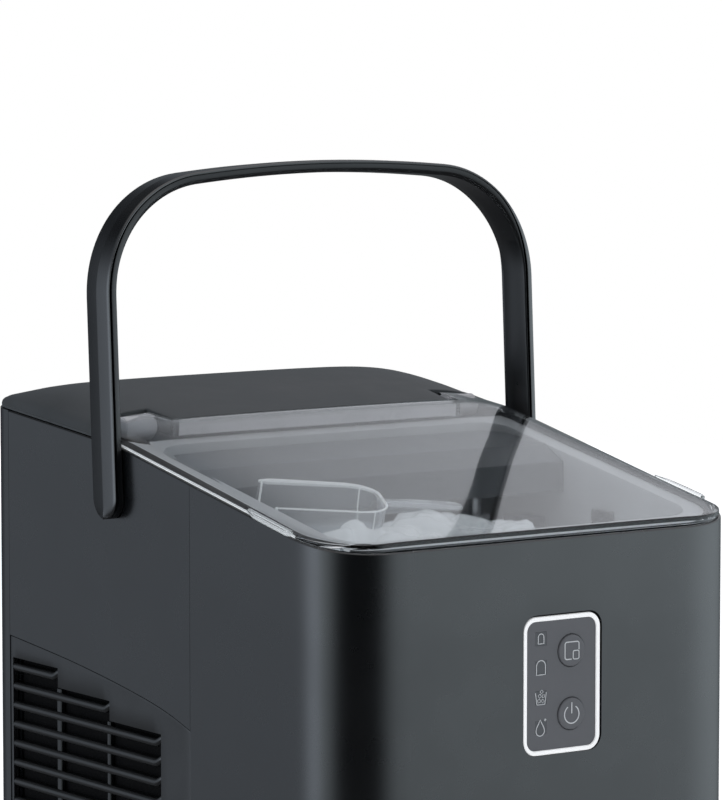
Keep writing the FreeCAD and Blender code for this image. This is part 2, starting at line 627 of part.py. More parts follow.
def evaporator():
    plate = box(-58, 58, FREEZE_Y - 13, FREEZE_Y + 13, FREEZE_Z + 2, FREEZE_Z + 11)
    places = [(-46 + 23 * i, FREEZE_Y - 9) for i in range(5)] + [(-34.5 + 23 * i, FREEZE_Y + 9) for i in range(4)]
    fingers = [rod((x, y, FREEZE_Z + 3), (x, y, FREEZE_Z - 20), 4) for x, y in places]
    riser_y = FREEZE_Y - 4
    risers = [tube([(x, riser_y, FREEZE_Z + 10), (x, riser_y, PIPE_Z), (x, 34.5, PIPE_Z)], 3.0)
              for x in (-PIPE_X, PIPE_X)]
    return fuse([plate] + fingers + risers)


def evaporator_cover():
    y_front = COVER_FRONT_Y
    y_rear = TUB_REAR_Y - 0.3
    top = [(y_front, 270), (-14, 277), (y_rear, 280)]
    under = [(y_rear, 278), (-13, 275), (y_front + 2, 268.3), (y_front + 2, 256), (y_front, 256)]
    shape = polygon_x(top + under, -TUB_X, TUB_X)
    return shape.common(tub_outline(-GAP, 240, 300))


def half_trough(r_out, r_in, x_half, wall_x):
    c0 = (-x_half, FREEZE_Y, FREEZE_Z)
    c1 = (x_half, FREEZE_Y, FREEZE_Z)
    outer = rod(c0, c1, r_out)
    inner = rod((-x_half + wall_x, FREEZE_Y, FREEZE_Z), (x_half - wall_x, FREEZE_Y, FREEZE_Z), r_in)
    return outer.cut(inner).cut(box(-90, 90, FREEZE_Y - 40, FREEZE_Y + 40, FREEZE_Z, FREEZE_Z + 50))


def water_tray():
    trough = half_trough(TRAY_R, TRAY_R - TRAY_T, TRAY_HALF, 2.0)
    hubs = []
    for side in (-1, 1):
        hubs.append(rod((side * (TRAY_HALF - 2), FREEZE_Y, FREEZE_Z), (side * TRAY_HALF, FREEZE_Y, FREEZE_Z), 7))
    shape = fuse([trough] + hubs)
    return shape.cut(rod((-90, FREEZE_Y, FREEZE_Z), (90, FREEZE_Y, FREEZE_Z), AXLE_R))


def tray_shaft(side):
    return rod((side * (TRAY_HALF - 3), FREEZE_Y, FREEZE_Z), (side * 80, FREEZE_Y, FREEZE_Z), AXLE_R)


def ice_pusher():
    """Scraper bar behind the trough on two arms that turn about the trough's axis."""
    a = math.radians(PUSHER_ANGLE)
    y = FREEZE_Y + PUSHER_R * math.cos(a)
    z = FREEZE_Z + PUSHER_R * math.sin(a)
    bar = box(-74, 74, -1.6, 1.6, -2.2, 2.2)
    bar.rotate(V(0, 0, 0), V(1, 0, 0), PUSHER_ANGLE + 90)
    bar.translate(V(0, y, z))
    shapes = [bar]
    for side in (-1, 1):
        x0, x1 = sorted((side * 71, side * 74))
        arm = box(x0, x1, 0, 33, -2.5, 2.5)
        arm.rotate(V(0, 0, 0), V(1, 0, 0), PUSHER_ANGLE)
        arm.translate(V(0, FREEZE_Y, FREEZE_Z))
        shapes.append(arm)
        shapes.append(rod((side * 71, FREEZE_Y, FREEZE_Z), (side * 74, FREEZE_Y, FREEZE_Z), 6))
    return fuse(shapes).cut(rod((-90, FREEZE_Y, FREEZE_Z), (90, FREEZE_Y, FREEZE_Z), AXLE_R + RUNNING))


def ice_slide():
    """Curved chute under the trough that leads to the basket."""
    c0 = (-SLIDE_HALF, FREEZE_Y, FREEZE_Z)
    c1 = (SLIDE_HALF, FREEZE_Y, FREEZE_Z)
    outer = rod(c0, c1, SLIDE_R + 1.7)
    inner = rod(c0, c1, SLIDE_R)
    chute = outer.cut(inner).common(box(-90, 90, -40.5, TUB_REAR_Y - 0.5, 190, 222))
    slots = [box(x - 2, x + 2, -20, 8, 190, 215) for x in range(-66, 67, 12)]
    struts = [box(x0, x0 + 2, -30, TUB_REAR_Y - 0.5, 190, 199.5) for x0 in (-SLIDE_HALF, SLIDE_HALF - 2)]
    chute = chute.cut(group(slots))
    keep = rod((-90, FREEZE_Y, FREEZE_Z), (90, FREEZE_Y, FREEZE_Z), SLIDE_R)
    return fuse([chute] + [s.cut(keep) for s in struts])


def tray_motor():
    body = rod((-93.6, FREEZE_Y, FREEZE_Z), (-BEARING_X, FREEZE_Y, FREEZE_Z), 12)
    gearbox = box(-93.6, -84, FREEZE_Y - 14, FREEZE_Y + 14, FREEZE_Z - 26, FREEZE_Z)
    shape = fuse([body, gearbox])
    return shape.cut(rod((-82, FREEZE_Y, FREEZE_Z), (-70, FREEZE_Y, FREEZE_Z), AXLE_R + RUNNING))


def tray_bearing():
    block = box(BEARING_X, 93.6, FREEZE_Y - 7, FREEZE_Y + 7, FREEZE_Z - 7, FREEZE_Z + 7)
    return block.cut(rod((70, FREEZE_Y, FREEZE_Z), (82, FREEZE_Y, FREEZE_Z), AXLE_R + RUNNING))


def ice_full_sensors():
    shapes = []
    for side in (-1, 1):
        x0, x1 = sorted((side * 91.6, side * 93.8))
        shapes.append(box(x0, x1, -66, -52, 238, 250))
    return group(shapes)


def water_level_probe():
    """Two steel pins on a small base that sense the water in the tub."""
    foot = box(60, 80, -24, -16, TUB_FLOOR_Z, 68)
    pins = [rod((x, -20, 67.9), (x, -20, 110), 1.2) for x in (65, 75)]
    return fuse([foot] + pins)


def reservoir_strainer():
    cup = rod((0, 0, TUB_FLOOR_Z), (0, 0, 72), 12)
    cuts = [box(-14, 14, -6, 6, 62 + 3 * i, 63.4 + 3 * i) for i in range(3)]
    return cup.cut(rod((0, 0, 59), (0, 0, 70.5), 10.5)).cut(group(cuts))


def water_pump():
    body = rod((-30, 38, 40), (-30, 62, 40), 15)
    volute = rod((-30, 30, 40), (-30, 38.2, 40), 18)
    foot = box(-46, -14, 40, 60, 8.5, 27)
    nozzle = rod((-20, 34.5, 44), (-9.5, 34.5, 44), 3.2)
    return fuse([body, volute, foot, nozzle])


def fill_tube():
    y = FOAM_REAR_Y + 3.5
    return tube([(-9.5, y, 44), (FILL_X, y, 44), (FILL_X, y, FILL_TOP_Z), (FILL_X, 22.5, FILL_TOP_Z)], 2.6)


def drain_hose():
    return tube([(DRAIN_X, 22.8, DRAIN_IN_Z), (DRAIN_X, 46, DRAIN_IN_Z), (DRAIN_X, 60, DRAIN_Z),
                 (DRAIN_X, 124.5, DRAIN_Z)], 4.5)


def drain_rod(y0, y1, r):
    return rod((DRAIN_X, y0, DRAIN_Z), (DRAIN_X, y1, DRAIN_Z), r)


def drain_spout():
    cup = drain_rod(125, 139.6, 13).cut(drain_rod(128, 141, 10.5))
    neck = drain_rod(125.1, 133, 6.5)
    return fuse([cup, neck]).cut(drain_rod(120, 140, 4.55))


def drain_plug():
    tab = box(DRAIN_X - 2, DRAIN_X + 2, 136.9, 139.4, DRAIN_Z - 6, DRAIN_Z + 6)
    return fuse([drain_rod(127, 133.6, 4.5), drain_rod(133.5, 137, 9), tab])


# ---------------------------------------------------------------- refrigeration and electrics
def compressor():
    can = rod((COMP_X, COMP_Y, 34), (COMP_X, COMP_Y, 120), COMP_R)
    dome = Part.makeSphere(60, V(COMP_X, COMP_Y, 92)).common(rod((COMP_X, COMP_Y, 118), (COMP_X, COMP_Y, 150), 45))
    bowl = Part.makeCone(36, COMP_R, 12, V(COMP_X, COMP_Y, 22))
    plate = box(COMP_X - 44, COMP_X + 44, COMP_Y - 30, COMP_Y + 30, 19, 22.1)
    return fuse([can, dome, bowl, plate])


def compressor_grommets():
    shapes = []
    for x in (COMP_X - 37, COMP_X + 37):
        for y in (COMP_Y - 23, COMP_Y + 23):
            shapes.append(rod((x, y, 8), (x, y, 19), 6))
    return group(shapes)


def condenser():
    shapes = [box(CONDENSER_X - CONDENSER_HALF, CONDENSER_X + CONDENSER_HALF, 41 + 3 * i, 41.8 + 3 * i, 40, 176)
              for i in range(FIN_COUNT)]
    shapes += [rod((CONDENSER_X, 37, 50 + 23 * i), (CONDENSER_X, 118, 50 + 23 * i), 3.2) for i in range(6)]
    ends = [box(CONDENSER_X - 12, CONDENSER_X + 12, y, y + 1.4, 38, 178) for y in (38.4, 115.6)]
    return fuse(shapes + ends)


def fan_shroud():
    plate = box(-80, -77, 34.4, 119, 64, 160)
    ring = rod((-80, FAN_Y, FAN_Z), (-66, FAN_Y, FAN_Z), FAN_R + 3.5)
    hole = rod((-90, FAN_Y, FAN_Z), (-60, FAN_Y, FAN_Z), FAN_R + 1.5)
    feet = [box(-80, -77, y, y + 8, 8.5, 64.5) for y in (34.4, 110)]
    arms = []
    for a in (45, 135, 225, 315):
        arm = box(-66.5, -62, 20, FAN_R + 3, -2, 2)
        arm.rotate(V(0, 0, 0), V(1, 0, 0), a)
        arm.translate(V(0, FAN_Y, FAN_Z))
        arms.append(arm)
    mount = rod((-66.5, FAN_Y, FAN_Z), (-62, FAN_Y, FAN_Z), 22)
    mount = mount.cut(rod((-70, FAN_Y, FAN_Z), (-60, FAN_Y, FAN_Z), 16.2))
    frame = fuse([plate, ring] + feet).cut(hole)
    return fuse([frame, mount] + arms)


def fan_motor():
    body = rod((-64, FAN_Y, FAN_Z), (-40, FAN_Y, FAN_Z), 16)
    return fuse([body, rod((-72, FAN_Y, FAN_Z), (-63.9, FAN_Y, FAN_Z), 2)])


def fan_blade():
    hub = rod((-79, FAN_Y, FAN_Z), (-67, FAN_Y, FAN_Z), 11)
    shapes = [hub]
    for i in range(5):
        blade = box(-74.2, -73.0, -9, 9, 8, FAN_R - 1)
        blade.rotate(V(-73.6, 0, 0), V(0, 0, 1), 28)
        blade.rotate(V(0, 0, 0), V(1, 0, 0), 72 * i)
        blade.translate(V(0, FAN_Y, FAN_Z))
        shapes.append(blade)
    fan = fuse(shapes)
    return fan.cut(rod((-72.5, FAN_Y, FAN_Z), (-60, FAN_Y, FAN_Z), 2 + RUNNING))


def filter_drier():
    body = rod((-50, 100, 150), (-50, 100, 206), 8)
    caps = [Part.makeCone(8, 3, 8, V(-50, 100, 206)), Part.makeCone(3, 8, 8, V(-50, 100, 142))]
    return fuse([body] + caps)


def hot_gas_valve():
    body = box(-8, 12, 100, 120, 196, 216)
    coil = rod((2, 110, 215.9), (2, 110, 240), 10)
    return fuse([body, coil])


def discharge_tube():
    x = COMP_X - 22
    return tube([(x, 118, 138.6), (x, 118, 186), (CONDENSER_X, 118, 186), (CONDENSER_X, 121.4, 180),
                 (CONDENSER_X, 121.4, 165), (CONDENSER_X, 118.1, 165)], 2.0)


def liquid_tube():
    return tube([(CONDENSER_X, 36.9, 50), (CONDENSER_X, 34.2, 50), (CONDENSER_X, 34.2, 182), (-56, 34.2, 182),
                 (-50, 60, 182), (-50, 100, 134), (-50, 100, 142)], 2.0)


def suction_tube():
    return tube([(PIPE_X, 34.6, PIPE_Z), (PIPE_X, 67, PIPE_Z), (PIPE_X, 67, 166), (COMP_X + 8, 72, 160),
                 (COMP_X + 8, 72, 150)], 3.0)


def hot_gas_tube():
    return tube([(2, 99.9, 206), (2, 67, 206), (-PIPE_X, 67, 206), (-PIPE_X, 67, PIPE_Z),
                 (-PIPE_X, 34.6, PIPE_Z)], 2.0)


def board_tray():
    tray = box(-86, 86, 73, 132, 246, 256).cut(box(-84, 84, 75, 130, 248, 260))
    legs = [box(x0, x0 + 22, 96, 104, 246, 250) for x0 in (-107.5, 85.5)]
    return fuse([tray] + legs)


def main_board():
    board = box(-80, 80, 77, 127, 250, 251.6)
    shapes = [board, box(-70, -40, 80, 106, 251.5, 268), rod((-20, 90, 251.5), (-20, 90, 270), 8)]
    shapes += [box(0 + 18 * i, 12 + 18 * i, 80, 96, 251.5, 264) for i in range(4)]
    shapes += [box(-70 + 12 * i, -62 + 12 * i, 112, 122, 251.5, 258) for i in range(12)]
    posts = [box(x, x + 4, y, y + 4, 248, 250.1) for x in (-79, 75) for y in (78, 121)]
    return fuse(shapes + posts)


def power_inlet():
    """Recessed appliance inlet: flange, shell and a rectangular socket."""
    flange = box(INLET_X - 13.5, INLET_X + 13.5, 137.0, 139.6, INLET_Z - 10, INLET_Z + 10)
    shell = box(INLET_X - 11.5, INLET_X + 11.5, 116, 137.1, INLET_Z - 8, INLET_Z + 8)
    hollow = box(INLET_X - 10, INLET_X + 10, 119, 142, INLET_Z - 6.5, INLET_Z + 6.5)
    return fuse([flange, shell]).cut(hollow).cut(inlet_pins())


def inlet_pins():
    places = ((INLET_X - 6, INLET_Z - 1), (INLET_X + 6, INLET_Z - 1), (INLET_X, INLET_Z + 3))
    return group([box(x - 1, x + 1, 112, 134, z - 2, z + 2) for x, z in places])


# ---------------------------------------------------------------- the parts and their files
def parts():
    both = (("left", -1), ("right", 1))
    made = {
        "base_pan": base_pan(),
        "foot_screws": group([foot_screw(x, y) for x, y in FOOT_PLACES]),
        "front_panel": front_panel(),
        "rear_panel": rear_panel(),
        "rear_screws": group([rear_screw(x, z) for x, z in REAR_SCREWS]),
        "rear_top_cover": rear_top_cover(),
        "lid": lid(),
        "lid_hinge_pins": group([lid_hinge_pin(-1), lid_hinge_pin(1)]),
        "rubber_feet": group([rubber_foot(x, y) for x, y in FOOT_PLACES]),
        "hinge_carrier": hinge_carrier(),
        "handle_outer_shell": handle_outer_shell(),
        "handle_inner_shell": handle_inner_shell(),
        "control_bezel": control_bezel(),
        "control_plate": control_plate(),
        "size_button": panel_button(SIZE_BUTTON_Z),
        "power_button": panel_button(POWER_BUTTON_Z),
        "indicator_lenses": indicator_lenses(),
        "button_board": button_board(),
        "inner_liner": inner_liner(),
        "insulation_foam": insulation_foam(),
        "ice_basket": ice_basket(),
        "ice_scoop": ice_scoop(),
        "evaporator": evaporator(),
        "evaporator_cover": evaporator_cover(),
        "water_tray": water_tray(),
        "ice_pusher": ice_pusher(),
        "ice_slide": ice_slide(),
        "tray_motor": tray_motor(),
        "tray_bearing": tray_bearing(),
        "tray_shafts": group([tray_shaft(-1), tray_shaft(1)]),
        "ice_full_sensors": ice_full_sensors(),
        "water_level_probe": water_level_probe(),
        "reservoir_strainer": reservoir_strainer(),
        "water_pump": water_pump(),
        "fill_tube": fill_tube(),
        "drain_hose": drain_hose(),
        "drain_spout": drain_spout(),
        "drain_plug": drain_plug(),
        "compressor": compressor(),
        "compressor_grommets": compressor_grommets(),
        "condenser": condenser(),
        "fan_shroud": fan_shroud(),
        "fan_motor": fan_motor(),
        "fan_blade": fan_blade(),
        "filter_drier": filter_drier(),
        "hot_gas_valve": hot_gas_valve(),
        "discharge_tube": discharge_tube(),
        "liquid_tube": liquid_tube(),
        "suction_tube": suction_tube(),
        "hot_gas_tube": hot_gas_tube(),
        "board_tray": board_tray(),
        "main_board": main_board(),
        "power_inlet": power_inlet(),
        "inlet_pins": inlet_pins(),
    }
    side_panel = side_panel_right()
    grille = vent_grille_right()
    for name, side in both:
        made["side_panel_" + name] = side_panel if side > 0 else mirror_x(side_panel)
        made["vent_grille_" + name] = grille if side > 0 else mirror_x(grille)
        made["handle_pivot_" + name] = handle_pivot(side)
    return made


os.makedirs("parts", exist_ok=True)
for node, shape in sorted(parts().items()):
    shape.exportStep("parts/" + node + ".step")
    print("%-24s solids %d valid %s volume %.0f" % (node, len(shape.Solids), shape.isValid(), shape.Volume))
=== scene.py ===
import bpy
import bmesh
import json
from math import atan2, copysign, cos, pi, radians, sin, sqrt
import random
from mathutils import Vector, Matrix


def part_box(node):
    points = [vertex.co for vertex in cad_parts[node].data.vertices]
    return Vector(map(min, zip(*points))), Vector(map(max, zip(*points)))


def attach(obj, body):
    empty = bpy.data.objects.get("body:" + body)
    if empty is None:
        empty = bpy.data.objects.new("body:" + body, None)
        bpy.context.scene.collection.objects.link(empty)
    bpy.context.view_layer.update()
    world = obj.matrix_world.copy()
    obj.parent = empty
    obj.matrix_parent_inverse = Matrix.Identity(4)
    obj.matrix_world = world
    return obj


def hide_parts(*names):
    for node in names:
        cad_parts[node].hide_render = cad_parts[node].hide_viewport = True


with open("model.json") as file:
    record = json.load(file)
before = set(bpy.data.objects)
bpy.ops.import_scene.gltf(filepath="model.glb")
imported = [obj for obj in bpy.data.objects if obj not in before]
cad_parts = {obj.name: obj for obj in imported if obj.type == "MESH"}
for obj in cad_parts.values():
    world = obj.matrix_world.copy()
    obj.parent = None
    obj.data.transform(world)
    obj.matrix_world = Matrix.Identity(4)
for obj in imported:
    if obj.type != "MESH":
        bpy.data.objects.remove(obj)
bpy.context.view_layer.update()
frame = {"nodes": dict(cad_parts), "record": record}

MM = 0.001
scene = bpy.context.scene
NODES = frame["nodes"]

# ---- the machine's lines, in millimetres
HALF_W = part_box("side_panel_right")[1].x / MM
HALF_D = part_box("rear_panel")[1].y / MM
WALL = 2.5
SKIN_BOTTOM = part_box("front_panel")[0].z / MM
SEAM_Y = -31.0          # between the front wrap and the side panels
REAR_SEAM_Y = 124.0     # between the side panels and the rear panel
SEAM_HALF = 0.1
# side edge of the casing: it rises from FRONT_TOP to BREAK_TOP at BREAK_Y, then less steeply to REAR_TOP
BREAK_Y = 28.0
BREAK_TOP = 285.6
FRONT_TOP = 254.0
REAR_TOP = 295.0
COVER_HALF_W = 110.2
COVER_RISE = 1.5
# lid, with a nose at the rear between its two hinge ears
LID_FRONT_Y = -138.4
LID_REAR_Y = 35.0
EAR_REAR_Y = 56.0
EAR_HALF_W = 99.0
NOSE_X_FRONT = 77.8
NOSE_X_REAR = 80.5
LID_AXIS_Y = 48.0
LID_AXIS_Z = 290.6
EAR_R = 7.8
R_LID = 26.5
LID_WALL = 1.8
# share of the dome's rise by distance from the middle, and the rise of both covers by y
CROWN = ((0, 1.0), (30, 0.995), (55, 0.975), (75, 0.93), (88, 0.83), (97, 0.68), (103, 0.5), (107.5, 0.28),
         (110.2, 0.0))
DECK_RISE = ((28, 7.4), (45, 8.6), (60, 10.0), (80, 11.9), (105, 12.1), (124, 9.7), (134, 6.6), (142, 3.4))
LID_RISE = ((-146, 2.3), (-110, 3.2), (-70, 4.6), (-31, 6.2), (0, 7.3), (28, 8.4), (45, 8.9), (60, 9.6))
# top edge of the louvred panels by y
LOUVRE_TOP = ((-36.0, 164.8), (-11.0, 172.0), (21.0, 177.8), (62.0, 183.3), (90.0, 186.2), (130.0, 189.8))
HANDLE_Y = 31.4
HANDLE_Z = 262.8
HANDLE_TILT = radians(3.06)


def curve_value(points, t):
    """Smooth curve through (t, value) points with rising t."""
    n = len(points)
    if t <= points[0][0]:
        return points[0][1]
    if t >= points[-1][0]:
        return points[-1][1]
    i = 0
    while points[i + 1][0] < t:
        i += 1

    def slope(k):
        a = points[max(k - 1, 0)]
        b = points[min(k + 1, n - 1)]
        return (b[1] - a[1]) / (b[0] - a[0])

    t0, v0 = points[i]
    t1, v1 = points[i + 1]
    h = t1 - t0
    s = (t - t0) / h
    return ((2 * s ** 3 - 3 * s ** 2 + 1) * v0 + (s ** 3 - 2 * s ** 2 + s) * h * slope(i)
            + (-2 * s ** 3 + 3 * s ** 2) * v1 + (s ** 3 - s ** 2) * h * slope(i + 1))


def side_z(y):
    """Height of the casing's side edge."""
    if y >= BREAK_Y:
        return BREAK_TOP + (REAR_TOP - BREAK_TOP) * (y - BREAK_Y) / (HALF_D - BREAK_Y)
    return FRONT_TOP + (BREAK_TOP - FRONT_TOP) * (y + HALF_D) / (BREAK_Y + HALF_D)


def crown(x, y, rise):
    """Height of a domed cover."""
    share = max(curve_value(CROWN, min(abs(x), COVER_HALF_W)), 0.0)
    return side_z(y) + COVER_RISE + curve_value(rise, y) * share


def turns(n):
    """n even angles round a circle."""
    return [2 * pi * k / n for k in range(n)]


def spread(a, b, n):
    """n + 1 even steps from a to b."""
    return [a + (b - a) * i / n for i in range(n + 1)]


# ---- mesh helpers
def make_object(name, verts, faces):
    """New mesh object from points in millimetres."""
    mesh = bpy.data.meshes.new(name)
    mesh.from_pydata([(x * MM, y * MM, z * MM) for x, y, z in verts], [], faces)
    mesh.validate()
    obj = bpy.data.objects.new(name, mesh)
    scene.collection.objects.link(obj)
    tidy_normals(obj)
    return obj


def tidy_normals(obj, smooth_angle=35.0, merge=False):
    """Faces outward, smooth where neighbours meet at less than smooth_angle degrees."""
    bm = bmesh.new()
    bm.from_mesh(obj.data)
    if merge:
        bmesh.ops.remove_doubles(bm, verts=bm.verts, dist=1e-7)
    bmesh.ops.recalc_face_normals(bm, faces=bm.faces)
    limit = radians(smooth_angle)
    for f in bm.faces:
        f.smooth = True
    for e in bm.edges:
        e.smooth = e.is_manifold and e.calc_face_angle(0.0) < limit
    bm.to_mesh(obj.data)
    bm.free()


def apply_modifiers(obj):
    dg = bpy.context.evaluated_depsgraph_get()
    mesh = bpy.data.meshes.new_from_object(obj.evaluated_get(dg))
    old = obj.data
    obj.modifiers.clear()
    obj.data = mesh
    bpy.data.meshes.remove(old)


def bevel(obj, width, angle=40.0):
    mod = obj.modifiers.new("edge", "BEVEL")
    mod.width = width * MM
    mod.segments = 2
    mod.limit_method = "ANGLE"
    mod.angle_limit = radians(angle)
    apply_modifiers(obj)
    tidy_normals(obj)


def cut(obj, tool):
    """Takes the tool's shape out of the object and deletes the tool."""
    mod = obj.modifiers.new("cut", "BOOLEAN")
    mod.object = tool
    mod.operation = "DIFFERENCE"
    mod.solver = "EXACT"
    apply_modifiers(obj)
    bpy.data.objects.remove(tool)


def open_edges(cells):
    """Directed edges that only one cell has."""
    edges = dict.fromkeys(edge for c in cells for edge in zip(c, c[1:] + c[:1]))
    return [(a, b) for a, b in edges if (b, a) not in edges]


def grid_cells(rows, m):
    """Cells of a grid of points listed row by row, m to a row."""
    return [[a, a + 1, a + m + 1, a + m] for i in range(rows - 1) for a in range(i * m, i * m + m - 1)]


def shell(name, outer, inner, cells):
    """Closed shell between two sheets with the same cells; walls close the open edges."""
    n = len(outer)
    faces = [tuple(c) for c in cells] + [tuple(n + i for i in reversed(c)) for c in cells]
    faces += [(b, a, n + a, n + b) for a, b in open_edges(cells)]
    return make_object(name, outer + inner, faces)


def sweep(name, sections, cap=True):
    """Joins equal-length loops of points, one per section, and closes both ends if capped."""
    verts = [p for s in sections for p in s]
    m = len(sections[0])
    faces = []
    for i in range(len(sections) - 1):
        for j in range(m):
            k = (j + 1) % m
            faces.append((i * m + j, i * m + k, (i + 1) * m + k, (i + 1) * m + j))
    if cap:
        faces.append(tuple(reversed(range(m))))
        faces.append(tuple((len(sections) - 1) * m + j for j in range(m)))
    return make_object(name, verts, faces)


def prism(name, loop, lift):
    """Extrudes a flat closed loop of points by a vector."""
    top = [(x + lift[0], y + lift[1], z + lift[2]) for x, y, z in loop]
    return sweep(name, [loop, top])


def join(name, objects):
    """One object from several meshes."""
    verts = []
    faces = []
    for o in objects:
        base = len(verts)
        verts += [tuple(v.co / MM) for v in o.data.vertices]
        faces += [tuple(base + i for i in p.vertices) for p in o.data.polygons]
        mesh = o.data
        bpy.data.objects.remove(o)
        bpy.data.meshes.remove(mesh)
    return make_object(name, verts, faces)


def piece(obj, body, slot, replaced=(), look=None):
    """Gives a finished object the material of its look or slot, puts it on its body and hides the CAD nodes
    that it replaces.
    """
    obj.data.materials.clear()
    obj.data.materials.append(MATERIALS[look or slot])
    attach(obj, body)
    if replaced:
        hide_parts(*replaced)


# ---- materials
def set_inputs(nt, node, inputs):
    """Sets a node's inputs, each to a plain value or linked to another node's output."""
    for socket, value in inputs.items():
        if isinstance(value, bpy.types.NodeSocket):
            nt.links.new(value, node.inputs[socket])
        else:
            node.inputs[socket].default_value = value


def add_node(nt, kind, inputs=None, **settings):
    node = nt.nodes.new("ShaderNode" + kind)
    for key, value in settings.items():
        setattr(node, key, value)
    set_inputs(nt, node, inputs or {})
    return node


def noise(nt, coords, scale, detail, rough):
    inputs = {"Vector": coords, "Scale": scale, "Detail": detail, "Roughness": rough}
    return add_node(nt, "TexNoise", inputs).outputs["Fac"]


def span(nt, value, low, high):
    """Maps the middle of a noise's range onto low..high."""
    inputs = {"Value": value, "From Min": 0.3, "From Max": 0.7, "To Min": low, "To Max": high}
    return add_node(nt, "MapRange", inputs).outputs["Result"]


def mix_colours(nt, share, a, b):
    """Colour a where share is 0 and b where it is 1."""
    return add_node(nt, "Mix", {"Factor": share, "A": a, "B": b}, data_type="RGBA").outputs["Result"]


def surface(name, colour, rough, vary=0.12, rough_vary=0.06, grain=1800.0, bump=0.08, bump_mm=0.02,
            mottle=38.0, metallic=0.0, ior=1.5, specular=0.5, transmission=0.0, lets_light=0.0, emission=0.0):
    """Moulded or metal surface: mottled colour, uneven roughness and a fine grain.
    lets_light is the share of light that passes a clear piece in its shadow."""
    mat = bpy.data.materials.new(name)
    mat.use_nodes = True
    nt = mat.node_tree
    shader = nt.nodes["Principled BSDF"]
    coords = add_node(nt, "TexCoord").outputs["Object"]
    patch = noise(nt, coords, mottle, 5.0, 0.55)
    fine = noise(nt, coords, grain, 2.0, 0.5)
    low = [c * (1 - vary) for c in colour]
    high = [min(c * (1 + vary), 1.0) for c in colour]
    bumped = add_node(nt, "Bump", {"Strength": bump, "Distance": bump_mm * MM, "Height": fine})
    set_inputs(nt, shader, {
        "Base Color": mix_colours(nt, span(nt, patch, 0.0, 1.0), (*low, 1), (*high, 1)),
        "Roughness": span(nt, patch, max(rough - rough_vary, 0.0), rough + rough_vary),
        "Normal": bumped.outputs["Normal"], "Metallic": metallic, "IOR": ior,
        "Specular IOR Level": specular, "Transmission Weight": transmission})
    if emission:
        set_inputs(nt, shader, {"Emission Color": (*colour, 1), "Emission Strength": emission})
    if lets_light:
        clear = add_node(nt, "BsdfTransparent", {"Color": (lets_light, lets_light, lets_light, 1)})
        path = add_node(nt, "LightPath")
        mix = add_node(nt, "MixShader", {"Fac": path.outputs["Is Shadow Ray"], 1: shader.outputs["BSDF"],
                                         2: clear.outputs["BSDF"]})
        nt.links.new(mix.outputs["Shader"], nt.nodes["Material Output"].inputs["Surface"])
    return mat


